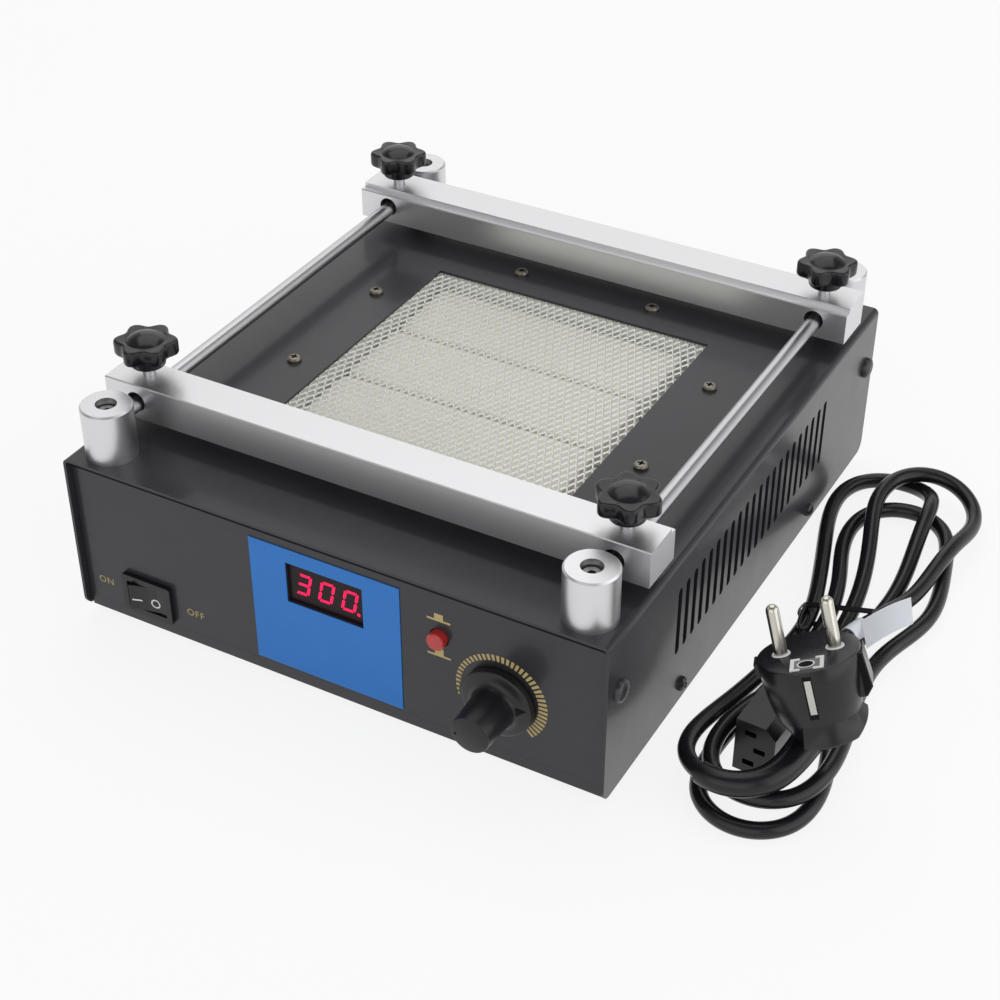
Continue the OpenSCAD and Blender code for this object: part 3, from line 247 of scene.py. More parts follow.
# Mains lead: the same points as the solid, from the plug to the connector, in millimetres
ROUTE = [
    (176, -71, 24), (174.6, -83.5, 21.5), (170.7, -95.6, 19.4), (160.4, -103.1, 18.4), (147.6, -103.1, 17.8),
    (137.3, -95.6, 16.6), (133.4, -83.5, 14), (132.8, -70, 10.5), (134, -56, 7), (136.4, -42, 5),
    (139.2, -26, 4.2), (142, -9, 4.2), (143.3, 8, 4.2), (141.5, 24, 4.2), (137, 41, 4.2),
    (132, 58, 4.2), (127, 74, 4.2), (123.2, 89, 4.2), (122.2, 103, 4.2), (126.1, 115.1, 4.2),
    (136.4, 122.6, 4.2), (149.2, 122.6, 4.8), (159.5, 115.1, 8), (163.4, 103, 12.4), (164.2, 90, 11),
    (165.8, 75, 8), (167.8, 59, 5.6), (168.4, 43, 4.4), (167, 27, 4.2), (164.6, 10, 4.2),
    (166, -8, 4.2), (171, -30, 4.2), (178, -52, 4.2), (183.4, -71, 4.2), (184.5, -87, 4.2),
    (180.3, -99.9, 4.2), (169.3, -107.9, 4.2), (155.7, -107.9, 4.2), (144.7, -99.9, 4.2), (140.5, -87, 4.2),
    (140.4, -70, 4.2), (142.6, -51, 4.2), (145.8, -32, 4.2), (149, -12, 4.2), (150.4, 9, 4.2),
    (148.5, 28, 4.2), (144.4, 45, 4.2), (139.4, 59, 4.2), (136, 72, 4.2), (135.4, 85, 4.2),
    (139.3, 97.1, 4.2), (149.6, 104.6, 4.2), (162.4, 104.6, 4.2), (172.7, 97.1, 4.2), (177.2, 85, 4.2),
    (180.6, 71, 4.2), (184.4, 55, 4.2), (186, 39, 4.2), (182.8, 25, 4.2), (177.8, 11, 4.2),
    (175.5, -5, 4.4), (177.5, -25, 6.6), (182, -46, 10), (184.6, -64, 11), (184, -78, 11),
    (179.9, -90.6, 11), (169.1, -98.4, 11), (155.9, -98.4, 11), (145.1, -90.6, 11), (141, -78, 11),
    (141.6, -63, 11), (147, -47, 11.2), (152.4, -30, 8.8), (156.2, -10, 5), (157.6, 9, 4.2),
    (156.5, 28, 4.2), (154, 46, 5), (150, 63, 8), (145.4, 77.5, 11.6), (141.8, 90, 12.8),
    (141, 102.8, 12.8), (143.7, 115.3, 12.8), (153.1, 123.8, 12.8), (165.8, 125.1, 11), (176.8, 118.8, 8),
    (182, 107.2, 6.6), (182.4, 95, 8.6), (180.8, 82, 11.4), (179.2, 68, 11.4), (178.2, 54, 9.8),
    (176.6, 40, 9.2), (172.3, 26, 11.4), (166.5, 13, 11.6), (162.8, 1, 11.8), (161.2, -11, 12.8),
    (160.4, -23, 14), (159.5, -40.2, 14)]


def spline(points, steps):
    """Cubic curve led by the points, sampled evenly in each span."""
    p = [Vector(q) for q in points]
    p = [2 * p[0] - p[1]] + p + [2 * p[-1] - p[-2]]
    out = []
    for i in range(len(p) - 3):
        a, b, c, d = p[i:i + 4]
        for k in range(steps):
            t = k / steps
            out.append(((1 - t) ** 3 * a + (3 * t ** 3 - 6 * t ** 2 + 4) * b
                        + (3 * t * (1 + t - t * t) + 1) * c + t ** 3 * d) / 6)
    out.append((p[-3] + 4 * p[-2] + p[-1]) / 6)
    return out


CORD_D = 0.0066


def lead_curve(points):
    data = bpy.data.curves.new("flex", "CURVE")
    data.dimensions = "3D"
    data.bevel_depth = CORD_D / 2
    data.bevel_resolution = 6
    data.use_fill_caps = True
    strand = data.splines.new("POLY")
    strand.points.add(len(points) - 1)
    for point, v in zip(strand.points, points):
        point.co = (*v, 1)
    data.materials.append(MATERIALS["cable_black"])
    obj = bpy.data.objects.new("flex", data)
    scene.collection.objects.link(obj)
    return obj


line = [v / 1000 for v in reversed(spline(ROUTE, 8))]
flex = lead_curve(line)
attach(flex, "case")
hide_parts("mains_cord")
lead_pieces = ["plug_pins", "cord_connector", "cord_tie"]


# Expanded mesh at its real pitch, twisted strands between staggered knuckles
def strand_box(start, end, lean):
    """A flat strand from knuckle to knuckle, twisted to one side."""
    width, thick, twist, overlap = 0.0007, 0.0004, math.radians(38), 0.0003
    along = (end - start).normalized()
    side = Vector((0, 0, 1)).cross(along)
    wide = (side * math.cos(twist) + Vector((0, 0, lean * math.sin(twist)))) * width / 2
    deep = along.cross(wide).normalized() * thick / 2
    verts = []
    for p in (start - along * overlap, end + along * overlap):
        verts += [p + wide + deep, p - wide + deep, p - wide - deep, p + wide - deep]
    return verts, stacked(2, 4)


def mesh_rim(lo, hi):
    """A flat frame round the mesh."""
    rim = 0.0035
    outer = [(lo.x, lo.y), (hi.x, lo.y), (hi.x, hi.y), (lo.x, hi.y)]
    inner = [(lo.x + rim, lo.y + rim), (hi.x - rim, lo.y + rim), (hi.x - rim, hi.y - rim),
             (lo.x + rim, hi.y - rim)]
    verts = [(x, y, h) for h in (lo.z, hi.z) for x, y in outer + inner]
    faces = []
    for k in range(4):
        m = (k + 1) % 4
        faces += [(k, 4 + k, 4 + m, m), (8 + k, 8 + m, 12 + m, 12 + k),
                  (k, m, 8 + m, 8 + k), (4 + m, 4 + k, 12 + k, 12 + m)]
    return verts, faces


def expanded_mesh():
    lo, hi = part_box("mesh_guard")
    pitch_x, pitch_y, inset = 0.0035, 0.0073, 0.004
    x0, x1, y0, y1 = lo.x + inset, hi.x - inset, lo.y + inset, hi.y - inset
    z = (lo.z + hi.z) / 2
    rows = int((y1 - y0) / (pitch_y / 2))
    columns = int((x1 - x0) / pitch_x)
    strands = []
    for j in range(rows):
        for i in range(columns + 1):
            start = Vector((x0 + i * pitch_x + (j % 2) * pitch_x / 2, y0 + j * pitch_y / 2, z))
            for lean in (-1, 1):
                end = start + Vector((lean * pitch_x / 2, pitch_y / 2, 0))
                if x0 <= start.x <= x1 and x0 <= end.x <= x1:
                    strands.append(strand_box(start, end, lean))
    piece("expanded_mesh", *merged(*strands, mesh_rim(lo, hi)), "mesh_steel", replaces=["mesh_guard"])


expanded_mesh()


# Ceramic tiles with rounded upper edges, on two legs each
def tile(node):
    lo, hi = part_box(node)
    thick, corner, soft, steps, soft_steps = 0.009, 0.003, 0.0012, 6, 5
    shift_x, shift_y = -0.004, 0.0015
    trim_x, trim_y = 0.003, 0.0006
    top, bottom = hi.z, hi.z - thick
    mid_x, mid_y = (lo.x + hi.x) / 2 + shift_x, (lo.y + hi.y) / 2 + shift_y
    half_x, half_y = (hi.x - lo.x) / 2 - trim_x - corner, (hi.y - lo.y) / 2 - trim_y - corner

    def outline(inset):
        points = []
        for quarter, (sx, sy) in enumerate(((1, 1), (-1, 1), (-1, -1), (1, -1))):
            for k in range(steps + 1):
                a = math.pi / 2 * (quarter + k / steps)
                points.append((mid_x + sx * half_x + (corner - inset) * math.cos(a),
                               mid_y + sy * half_y + (corner - inset) * math.sin(a)))
        return points

    levels = [(0, bottom), (0, top - soft)]
    for k in range(1, soft_steps + 1):
        a = math.pi / 2 * k / soft_steps
        levels.append((soft * (1 - math.cos(a)), top - soft * (1 - math.sin(a))))
    slab = [(x, y, z) for inset, z in levels for x, y in outline(inset)]
    shapes = [(slab, stacked(len(levels), 4 * (steps + 1)))]
    leg_x, leg_y, leg_out = 0.006, 0.008, 0.4 * (hi.x - lo.x)
    for s in (-1, 1):
        x = mid_x + s * leg_out
        leg = [(x + u * leg_x, mid_y + v * leg_y, z) for z in (lo.z, bottom)
               for u, v in ((-1, -1), (1, -1), (1, 1), (-1, 1))]
        shapes.append((leg, stacked(2, 4)))
    piece("tile_" + node, *merged(*shapes), "ceramic", replaces=[node])


for node in ("heater_tile_front", "heater_tile_middle", "heater_tile_rear"):
    tile(node)


# Painted shade at the bottoms of the cross recesses in the deck screws
def cross(half_long, half_wide):
    """The two bars of a cross recess, as corner points."""
    sizes = ((half_long, half_wide), (half_wide, half_long))
    return [[(-w, -d), (w, -d), (w, d), (-w, d)] for w, d in sizes]


def deck_recess_shades():
    window_y, shade_z = 4.4, 73.6
    aside, across, apart = 79.5, 77.5, 32
    screws = [(aside * s, window_y + apart * t) for s in (-1, 1) for t in (-1, 1)]
    screws += [(apart * t, window_y + across * s) for s in (-1, 1) for t in (-1, 1)]
    bars = [([case(x + u, y + v, shade_z) for u, v in bar_points], [(0, 1, 2, 3)])
            for x, y in screws for bar_points in cross(1.5, 0.45)]
    piece("deck_recess_shades", *merged(*bars), "dark_screw", material=PAINTED_SHADE)


deck_recess_shades()


# Larger upper screw heads in the sides, with painted shade in their recesses
def side_screws():
    head = ((4.5, 0), (4.5, 1.2), (4.1, 1.9), (3.2, 2.4), (1.6, 2.7))
    side_x, screw_y, screw_z, recess_out, around = 117.5, 121.5, 47.7, 2.6, 40
    heads, recesses = [], []
    for s, t in ((-1, -1), (-1, 1), (1, -1), (1, 1)):
        def on_side(a, b, out):
            return case(s * (side_x + out), t * screw_y + s * a, screw_z + b)

        verts = [on_side(r * math.cos(a), r * math.sin(a), out) for r, out in head for a in turns(around)]
        heads.append((verts, stacked(len(head), around, bottom=False)))
        # Painted shade in each cross recess
        for bar_points in cross(2.3, 0.55):
            recesses.append(([on_side(a, b, recess_out) for a, b in bar_points], [(0, 1, 2, 3)]))
    piece("side_screw_heads", *merged(*heads), "dark_screw", smooth=True)
    piece("side_recess_shades", *merged(*recesses), "dark_screw", material=PAINTED_SHADE)


side_screws()


# Star knobs with rounded lobes and a domed middle
LOBES = 6


def star_knob(corner, turned):
    lo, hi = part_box("knob_" + corner)
    middle = Vector(((lo.x + hi.x) / 2, (lo.y + hi.y) / 2, lo.z))
    around, mean_r, lobe_rise = 144, 0.0112, 0.0013

    def lobes(inset):
        return lambda a: mean_r - inset + lobe_rise * math.cos(LOBES * a)

    def circle(r):
        return lambda a: r

    rings = [(circle(0.0062), 0), (circle(0.0068), 0.0002), (circle(0.007), 0.0008),
             (circle(0.007), 0.0042), (circle(0.0074), 0.0045),
             (lobes(0.0014), 0.0045), (lobes(0.0004), 0.0048), (lobes(0.0), 0.0056),
             (lobes(0.0), 0.0098), (lobes(0.00012), 0.0104), (lobes(0.0004), 0.0108),
             (lobes(0.0009), 0.0110), (lobes(0.0016), 0.0110),
             (circle(0.0079), 0.0108), (circle(0.0075), 0.0108)]
    dome_foot, dome_rise, dome_top = 0.0075, 0.0026, 0.0134
    dome_r = (dome_foot ** 2 + dome_rise ** 2) / (2 * dome_rise)
    for r in (0.0073, 0.0068, 0.006, 0.005, 0.0037, 0.0022, 0.001):
        rings.append((circle(r), dome_top - dome_r + math.sqrt(dome_r ** 2 - r ** 2)))
    verts = [middle + Vector((shape(a) * math.sin(a + turned), shape(a) * math.cos(a + turned), z))
             for shape, z in rings for a in turns(around)]
    piece("star_" + corner, verts, stacked(len(rings), around, flipped=True), "gloss_black",
          "knob_" + corner, smooth=True, replaces=["knob_" + corner])


for corner in ("front_left", "front_right", "rear_left", "rear_right"):
    star_knob(corner, math.pi / LOBES if corner == "front_right" else 0)


# Flat outlines in the case's x and z, at the given y: print, lit figures and painted shade
def flat_outlines(name, outlines, y, slot, material):
    verts, faces = [], []
    for outline in outlines:
        faces.append(list(range(len(verts), len(verts) + len(outline))))
        verts += [case(x, y, z) for x, z in outline]
    piece(name, verts, faces, slot, material=material)


def bar(x0, z0, x1, z1):
    """Corners of a rectangle, from its low left to its high right."""
    return [(x0, z0), (x1, z0), (x1, z1), (x0, z1)]


def disc(x, z, r, count=16):
    return [(x + r * math.cos(a), z + r * math.sin(a)) for a in turns(count)]


PANEL, PANEL_HALF = -127.5, 115.5
PRINT_Y = PANEL - 0.06

# Bars and stems above and below the button
button_marks, bar_high = [], 0.9
for foot_z, tip_z in ((55.3, 58.7), (38.9, 42.6)):
    button_marks += [bar(43.2, foot_z, 53, foot_z + bar_high), bar(46.3, foot_z + bar_high, 50, tip_z)]
flat_outlines("button_marks", button_marks, PRINT_Y, "brass", GOLD)


# Ticks round the dial, which grow inwards as it turns up
def dial_ticks():
    x, z, outer, last = 73.9, 30.4, 18.9, 38
    first, sweep, half = 197, 243, math.radians(1.9)
    ticks = []
    for i in range(last + 1):
        u = i / last
        a = math.radians(first - sweep * u)
        inner = outer - (1.7 + 2.5 * u) * min(1, 0.4 + 8 * u)
        corners = ((inner, a - half), (outer, a - half), (outer, a + half), (inner, a + half))
        ticks.append([(x + r * math.cos(b), z + r * math.sin(b)) for r, b in corners])
    flat_outlines("dial_ticks", ticks, PRINT_Y, "brass", GOLD)


dial_ticks()

# Dial knob: radius and distance out of the panel along its outline
DIAL_X, DIAL_Z = 73.7, 29.8
FILLET = ((11.6, 4.5), (10.2, 4.9), (9.2, 5.7))
DIAL = ((14.0, 0.9), (14.4, 1.2), (14.4, 3.7), (14.1, 4.1), (13.4, 4.35), *FILLET,
        (8.7, 7.0), (8.4, 9.5), (7.75, 22.3), (7.55, 22.85), (7.1, 23.05))


def on_dial(r, a, out):
    return case(DIAL_X + r * math.cos(a), PANEL - out, DIAL_Z + r * math.sin(a))


def dial_knob():
    around = 96
    verts = [on_dial(r, a, out) for r, out in DIAL for a in turns(around)]
    knob = piece("dial_knob", verts, stacked(len(DIAL), around), "black_plastic", "dial", smooth=True,
                 replaces=["temperature_knob"])
    knob.data.set_sharp_from_angle(angle=math.radians(40))


def dial_notch_shades():
    """Painted shade in the pointer notch on the skirt and in the dot on the face."""
    pointer, tip, root_half, lift = math.radians(9), 12.9, 1.9, 0.07
    notch = []
    for r, out in ((12.7, 4.42), *FILLET):
        half = root_half * (tip - r) / (tip - FILLET[-1][0])
        aside = math.atan2(half, r)
        notch += [on_dial(math.hypot(r, half), pointer + s * aside, out + lift) for s in (-1, 1)]
    dot_a, dot_out, dot_r, face_out = math.radians(192), 6.0, 0.55, 23.09
    outline = disc(DIAL_X + dot_out * math.cos(dot_a), DIAL_Z + dot_out * math.sin(dot_a), dot_r)
    dot = [case(x, PANEL - face_out, z) for x, z in outline]
    shapes = merged((notch, [(2 * n, 2 * n + 2, 2 * n + 3, 2 * n + 1) for n in range(3)]),
                    (dot, [list(range(len(dot)))]))
    piece("dial_notch_shades", *shapes, "black_plastic", "dial", PAINTED_SHADE)


dial_knob()
dial_notch_shades()

# Painted shade under the cover's front edge
gap_foot, gap_top = 67.6, 71
gap = bar(-PANEL_HALF, gap_foot, PANEL_HALF, gap_top)
flat_outlines("cover_gap_shade", [gap], PANEL - 0.04, "black_paint", PAINTED_SHADE)

# Straight lower edge of the front panel, over the bend
edge_outline, edge_high = bar(-PANEL_HALF, PANEL - 0.03, PANEL_HALF, PANEL + 0.9), 5
edge_verts = [case(x, y, z) for z in (0, edge_high) for x, y in edge_outline]
piece("panel_edge", edge_verts, stacked(2, 4), "black_paint")


# Display: the lit bars of three slanted seven-bar figures, and a point
FIGURE_Z = 43.5
THREE, NOUGHT = "abcdg", "abcdef"


def figure(x0, lit):
    w, h, t, g, slant = 6.4, 10.0, 1.25, 0.12, 0.21
    c = h / 2
    shapes = {
        "a": [(t * 0.6 + g, h), (w - t * 0.6 - g, h), (w - t - g, h - t), (t + g, h - t)],
        "d": [(t + g, t), (w - t - g, t), (w - t * 0.6 - g, 0), (t * 0.6 + g, 0)],
        "g": [(t + g, c + t / 2), (w - t - g, c + t / 2), (w - t * 0.6 - g, c), (w - t - g, c - t / 2),
              (t + g, c - t / 2), (t * 0.6 + g, c)],
        "b": [(w - t, h - t - g), (w - t * 0.4, h - t * 0.4 - g), (w, h - t * 0.7), (w, c + t * 0.5 + g),
              (w - t * 0.5, c + g), (w - t, c + t / 2 + g)],
        "c": [(w - t, t + g), (w - t, c - t / 2 - g), (w - t * 0.5, c - g), (w, c - t * 0.5 - g),
              (w, t * 0.7), (w - t * 0.4, t * 0.4 + g)]}
    shapes["f"] = [(w - u, v) for u, v in reversed(shapes["b"])]
    shapes["e"] = [(w - u, v) for u, v in reversed(shapes["c"])]
    return [[(x0 + u + v * slant, FIGURE_Z + v) for u, v in shapes[k]] for k in lit]


display_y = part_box("led_display")[0].y * 1000 - CASE_Y - 0.05
reading = figure(-15.2, THREE) + figure(-5.0, NOUGHT) + figure(5.2, NOUGHT)
reading.append(disc(13.1, FIGURE_Z, 0.75))
flat_outlines("display_figures", reading, display_y, "display_red", LED_LIT)


# ON and OFF beside the switch
def word(text, x, z, size=4.5):
    data = bpy.data.curves.new("word_" + text, "FONT")
    data.body = text
    data.size = size / 1000
    data.align_x = "CENTER"
    data.align_y = "CENTER"
    data.space_character = 1.12
    data.resolution_u = 4
    obj = bpy.data.objects.new("word_" + text, data)
    obj.matrix_world = Matrix.Translation(case(x, PRINT_Y, z)) @ Matrix.Rotation(math.pi / 2, 4, "X")
    scene.collection.objects.link(obj)
    data.materials.append(GOLD)
    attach(obj, "case")


word("ON", -106.9, 14.9)
word("OFF", -63.2, 14.6)


# Marks on the rocker: a bar at its ON end and a ring at its OFF end
KNEE = 4.04


def on_rocker(x, z):
    """A point just above the pressed rocker's face, x from its axis."""
    profile = ((-8.086, -5.2), (-KNEE, -4.5), (0, -4.3), (KNEE, -4.5), (8.086, -5.2))
    turn, axis_x, axis_y, lift = math.radians(9), -85.4, PANEL + 2.4, 0.08
    for (x0, y0), (x1, y1) in zip(profile, profile[1:]):
        if x0 <= x <= x1:
            y = y0 + (y1 - y0) * (x - x0) / (x1 - x0) - lift
    return case(axis_x + x * math.cos(turn) - y * math.sin(turn),
                axis_y + x * math.sin(turn) + y * math.cos(turn), z)


def rocker_marks():
    marks = [bar(-7.0, 13.3, -KNEE, 14.0), bar(-KNEE, 13.3, -2.8, 14.0)]
    ring_x, ring_z, inner, outer, steps = 3.2, 13.6, 1.5, 2.15, 28
    for a in turns(steps):
        b = a + 2 * math.pi / steps
        marks.append([(ring_x + r * math.cos(c), ring_z + r * math.sin(c))
                      for r, c in ((inner, a), (outer, a), (outer, b), (inner, b))])
    shapes = [([on_rocker(x, z) for x, z in mark], [(0, 1, 2, 3)]) for mark in marks]
    piece("rocker_marks", *merged(*shapes), "white_plastic", "rocker", WHITE_PRINT)


rocker_marks()


# Plug: its own frame has the face at z 0, the pins along z and the front towards -y, in millimetres
plug = (Matrix.Translation((0.170, -0.0685, 0.060)) @ Matrix.Rotation(math.radians(-11.2), 4, "X")
        @ Matrix.Rotation(math.radians(-21.1), 4, "Y") @ Matrix.Rotation(math.radians(19), 4, "Z"))
PIN_X = 9.5


def at_plug(x, y, z):
    return plug @ (Vector((x, y, z)) / 1000)


# White collars at the foot of the plug's pins
def pin_collars():
    outline = ((2.45, 0), (2.45, 0.35), (3.2, 0.35), (3.4, 0))
    around = 32
    shapes = []
    for x in (-PIN_X, PIN_X):
        verts = [at_plug(x + r * math.cos(a), r * math.sin(a), z) for r, z in outline for a in turns(around)]
        shapes.append((verts, stacked(len(outline), around, top=False, bottom=False)))
    return piece("pin_collars", *merged(*shapes), "white_plastic", material=WHITE_PRINT, smooth=True)


collars = pin_collars()

# Plug body: depth below its face, half width and front reach; the flange opens at the front and right
SHELL = ((0, 17.7, 19.5), (-0.3, 18.2, 20.1), (-1.0, 18.5, 20.4), (-8, 17.9, 19.3), (-16, 16.9, 17.7),
         (-20, 16.0, 16.6), (-22.6, 15.2, 15.6), (-23.0, 15.1, 15.5), (-30, 16.9, 17.7), (-30.8, 16.6, 17.3),
         (-31, 15, 15))
WAIST_Z, WAIST_R = -23, 15.1


def reach(z):
    """How far the front of the plug body stands out at a depth."""
    for (z0, _, b0), (z1, _, b1) in zip(SHELL, SHELL[1:]):
        if z1 <= z <= z0:
            return b0 + (b1 - b0) * (z - z0) / (z1 - z0)


def plug_shell():
    around = 120
    flange_from, fade_from, flange_to = -112, -42, 7
    taper, shallow = 0.55, 0.8
    verts = []
    for z, a, b in SHELL:
        for t in turns(around):
            c, s = math.cos(t), math.sin(t)
            r = 1 / math.hypot(c / a, s / (b if s < 0 else a))
            turn = math.degrees(t) if t <= math.pi else math.degrees(t) - 360
            low = z
            if z < WAIST_Z and not flange_from < turn < flange_to:
                r = WAIST_R - taper * (WAIST_Z - z)
            elif z < WAIST_Z and turn > fade_from:
                fade = (turn - fade_from) / (flange_to - fade_from)
                low = WAIST_Z + (z - WAIST_Z) * (1 - shallow * fade)
            verts.append(at_plug(r * c, r * s, low))
    return verts, stacked(len(SHELL), around, flipped=True)


def plug_prism(profile, y0, y1):
    """A slab across the plug: its outline in x and z, clockwise seen from the front, between two y."""
    n = len(profile)
    verts = [at_plug(x, y, z) for y in (y0, y1) for x, z in profile]
    faces = [[k, n + k, n + (k + 1) % n, (k + 1) % n] for k in range(n)]
    return verts, faces + [list(reversed(range(n))), list(range(n, 2 * n))]


wing = plug_prism(((15, -1.2), (18.9, -1.2), (20.4, -14.5), (18.0, -17.8), (14, -17.8)), -6.5, 6)
shoulder = plug_prism(((-15, -0.9), (-15, -6.5), (-18.9, -6.0), (-19.4, -0.9)), -4.5, 3.5)
foot_line = [at_plug(*q) for q in ((-1.5, 4, -29), (-3, 5, -33), (-5.2, 6.5, -36.5))]
foot = tube(foot_line, [0.0095, 0.0085, 0.0064], 40)
relief_steps, relief_root, relief_tip = 33, 0.0062, 0.0044
relief_line = list(reversed(line))[:relief_steps + 1]
relief_radii = [relief_root + (relief_tip - relief_root) * i / relief_steps for i in range(relief_steps + 1)]
relief = tube(relief_line, relief_radii, 24)
shell = piece("plug_shell", *merged(plug_shell(), wing, shoulder, foot, relief), "cable_black", smooth=True,
              replaces=["plug_body"])
shell.data.set_sharp_from_angle(angle=math.radians(32))


def plate(outline, height):
    """A thin plate on the plug's face: its outline in x and y, seen from the pins."""
    verts = [at_plug(x, y, z) for z in (-0.1, height) for x, y in outline]
    return verts, stacked(2, len(outline))


def ring_plate(x, y, inner, outer, height):
    around = 32
    verts = [at_plug(u, v, height) for r in (inner, outer) for u, v in disc(x, y, r, around)]
    return verts, stacked(2, around, top=False, bottom=False, flipped=True)


def on_front(x0, x1, z0, z1, lift):
    """A strip on the front of the plug body, a little off its surface."""
    steps, half_width = 12, 18
    verts = []
    for i in range(steps + 1):
        z = z0 + (z1 - z0) * i / steps
        verts += [at_plug(x, -reach(z) * math.sqrt(1 - (x / half_width) ** 2) - lift, z) for x in (x0, x1)]
    return verts, [(2 * i, 2 * i + 2, 2 * i + 3, 2 * i + 1) for i in range(steps)]


# Earth contact: plate in a pale frame round the socket, and the strip down the front
SOCKET_X, SOCKET_Y, SOCKET_R = -0.4, -12.9, 2.6
contact = piece("earth_plate", *plate(bar(-4.8, -17.4, 4.8, -8.4), 0.1), "nickel", material=DULL)
frame_bars = [bar(-5.9, -18.0, -4.5, -7.6), bar(4.5, -18.0, 5.9, -7.6), bar(-4.5, -8.9, -2.6, -7.6),
              bar(2.9, -8.9, 4.5, -7.6), bar(-4.5, -18.0, -2.4, -16.8), bar(2.2, -18.0, 4.5, -16.8)]
frame_shapes = [plate(b, 0.4) for b in frame_bars]
frame_shapes.append(ring_plate(SOCKET_X, SOCKET_Y, SOCKET_R, SOCKET_R + 0.6, 0.2))
rim = piece("earth_frame", *merged(*frame_shapes), "white_plastic", material=WHITE_PRINT)
strip = piece("earth_strip", *on_front(-1.6, 0.7, -3.4, -17.2, 0.16), "nickel", material=SATIN,
              replaces=["plug_earth"])
# Painted shade in the socket, in the groove beside the earth strip and on the wing's front face
wing_shade = ((16.6, -1.7), (18.5, -1.7), (19.9, -14.3), (17.9, -17.2), (17.2, -17.1))
shades = merged(plate(disc(SOCKET_X, SOCKET_Y, SOCKET_R, 32), 0.15), on_front(-2.2, 1.1, -1.8, -19.4, 0.08),
                plug_prism(wing_shade, -6.56, -6.4))
dark = piece("plug_painted_shades", *shades, "cable_black", material=PAINTED_SHADE)

# Knot of the wire tie on the left-hand strand
KNOT = ((140.2, 17, 8.4), (141.0, 10, 8.9), (142.2, 3, 9.2), (144.6, 0.5, 8.9), (146.4, 4.5, 8.6),
        (144.6, 11.5, 8.6), (141.4, 18, 8.4))
WIRE_R = 0.00085
loop = [v / 1000 for v in spline(KNOT, 8)]
knot = piece("tie_knot", *tube(loop, [WIRE_R] * len(loop), 12), "cable_black", smooth=True)


# Blank flag on a sleeve round the lead's tail
def flag_sheet():
    """A bowed sheet between four corners, with both faces and its edge."""
    near, low, far, high = [Vector(q) / 1000 for q in ((165.6, 9.6, 15.6), (173.4, -4.3, 15.0),
                                                       (185.1, 14.1, 19.0), (179.2, 28.0, 20.0))]
    along, across, thick, bow = 8, 4, 0.0004, 0.0012
    row, layer = across + 1, (along + 1) * (across + 1)
    verts, faces = [], []
    for drop in (0, thick):
        for i in range(along + 1):
            for j in range(row):
                u, w = i / along, j / across
                q = (near * (1 - w) + low * w) * (1 - u) + (high * (1 - w) + far * w) * u
                verts.append(q + Vector((0, 0, bow * math.sin(math.pi * u) - drop)))
    for i in range(along):
        for j in range(across):
            a = row * i + j
            b = a + layer
            faces += [(a, a + 1, a + row + 1, a + row), (b + row, b + row + 1, b + 1, b)]
    edge = [row * i for i in range(along + 1)] + [row * along + j for j in range(1, row)]
    edge += [row * i + across for i in reversed(range(along))] + list(range(across - 1, 0, -1))
    faces += [(a, b, b + layer, a + layer) for a, b in zip(edge, edge[1:] + edge[:1])]
    return verts, faces


SLEEVE_R, SLEEVE_FROM, SLEEVE_TO, TAIL_STEPS = 0.0038, 0.002, 0.0125, 60
tail = [v for v in line[:TAIL_STEPS] if SLEEVE_FROM <= v.y <= SLEEVE_TO]
sleeve = tube(tail, [SLEEVE_R] * len(tail), 24)
flag = piece("lead_flag", *merged(sleeve, flag_sheet()), "paper", smooth=True, replaces=["cord_tag"])
flag.data.set_sharp_from_angle(angle=math.radians(40))
lead_pieces += [shell, contact, rim, strip, dark, knot, flag]


# Floor and light
def seen_directly(tree, share):
    """The share where a camera, glossy or transmission ray meets the surface, 0 for the rest."""
    path = tree.nodes.new("ShaderNodeLightPath")
    total = path.outputs["Is Camera Ray"]
    for name in ("Is Glossy Ray", "Is Transmission Ray"):
        more = tree.nodes.new("ShaderNodeMath")
        more.operation = "MAXIMUM"
        link(tree, total, more.inputs[0])
        link(tree, path.outputs[name], more.inputs[1])
        total = more.outputs[0]
    scaled = tree.nodes.new("ShaderNodeMath")
    scaled.operation = "MULTIPLY"
    scaled.inputs[1].default_value = share
    link(tree, total, scaled.inputs[0])
    return scaled.outputs[0]


def floor_material():
    m, tree, shader = new_material("floor")
    shader.inputs["Base Color"].default_value = (0.86, 0.86, 0.86, 1)
    shader.inputs["Roughness"].default_value = 0.8
    glow = tree.nodes.new("ShaderNodeEmission")
    glow.inputs["Color"].default_value = (1, 1, 1, 1)
    mix = tree.nodes.new("ShaderNodeMixShader")
    link(tree, seen_directly(tree, 0.86), mix.inputs[0])
    link(tree, shader.outputs[0], mix.inputs[1])
    link(tree, glow.outputs[0], mix.inputs[2])
    link(tree, mix.outputs[0], tree.nodes["Material Output"].inputs["Surface"])
    return m


FLOOR_HALF = 8
floor_outline = bar(-FLOOR_HALF, -FLOOR_HALF, FLOOR_HALF, FLOOR_HALF)
floor_mesh = bpy.data.meshes.new("floor")
floor_mesh.from_pydata([(x, y, 0) for x, y in floor_outline], [], [(0, 1, 2, 3)])
floor_mesh.materials.append(floor_material())
floor = bpy.data.objects.new("floor", floor_mesh)
scene.collection.objects.link(floor)


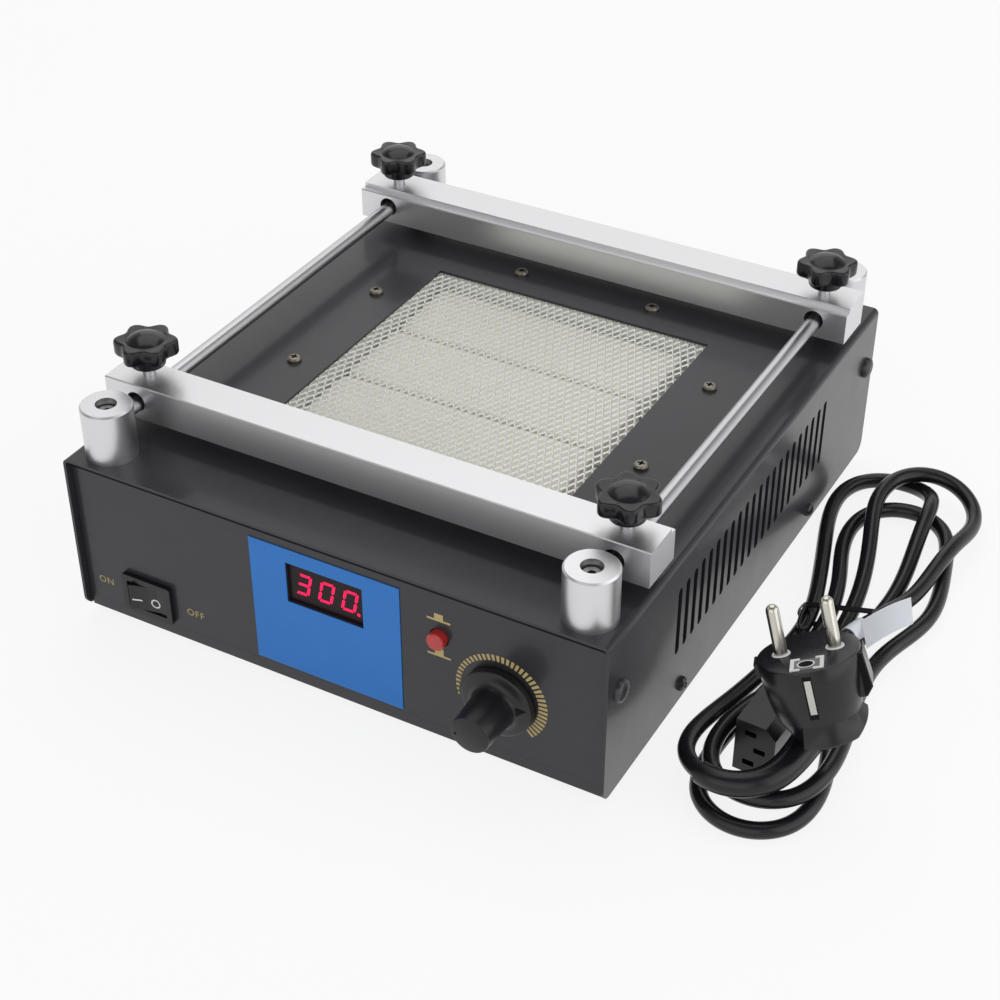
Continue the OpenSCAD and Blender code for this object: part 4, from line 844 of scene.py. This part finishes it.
def studio_world():
    """Soft light all round; the camera sees one pale grey, and metal sees it fall off overhead."""
    world = bpy.data.worlds.new("studio")
    world.use_nodes = True
    tree = world.node_tree
    soft = tree.nodes["Background"]
    soft.inputs["Color"].default_value = (0.95, 0.97, 1.0, 1)
    soft.inputs["Strength"].default_value = 0.35
    heading = tree.nodes.new("ShaderNodeTexCoord")
    parts = tree.nodes.new("ShaderNodeSeparateXYZ")
    fade = tree.nodes.new("ShaderNodeMapRange")
    fade.inputs["From Min"].default_value = 0.08
    fade.inputs["From Max"].default_value = 0.65
    fade.inputs["To Min"].default_value = 1.0
    fade.inputs["To Max"].default_value = 0.28
    link(tree, heading.outputs["Generated"], parts.inputs[0])
    link(tree, parts.outputs["Z"], fade.inputs["Value"])
    sight = tree.nodes.new("ShaderNodeMath")
    sight.operation = "MAXIMUM"
    path = tree.nodes.new("ShaderNodeLightPath")
    link(tree, fade.outputs["Result"], sight.inputs[0])
    link(tree, path.outputs["Is Camera Ray"], sight.inputs[1])
    plain = tree.nodes.new("ShaderNodeBackground")
    link(tree, sight.outputs[0], plain.inputs["Strength"])
    blend = tree.nodes.new("ShaderNodeMixShader")
    link(tree, seen_directly(tree, 1.0), blend.inputs[0])
    link(tree, soft.outputs[0], blend.inputs[1])
    link(tree, plain.outputs[0], blend.inputs[2])
    link(tree, blend.outputs[0], tree.nodes["World Output"].inputs["Surface"])
    return world


scene.world = studio_world()


def softbox(name, place, target, size, power):
    """A rectangular lamp that faces its target."""
    lamp = bpy.data.lights.new(name, "AREA")
    lamp.shape = "RECTANGLE"
    lamp.size, lamp.size_y = size
    lamp.energy = power
    obj = bpy.data.objects.new(name, lamp)
    place, target = Vector(place), Vector(target)
    obj.location = place
    obj.rotation_euler = (target - place).to_track_quat("-Z", "Y").to_euler()
    scene.collection.objects.link(obj)


middle = (0, 0, 0.05)
softbox("top", (-0.3, 0.45, 1.45), middle, (1.5, 1.2), 7.4)
softbox("back", (-0.75, 1.45, 1.1), middle, (1.6, 1.1), 4.2)
softbox("right", (1.5, 0.1, 0.8), (0.05, 0, 0.05), (2.2, 1.7), 13.5)
softbox("front", (0.1, -1.6, 0.9), middle, (2.2, 1.4), 8.6)
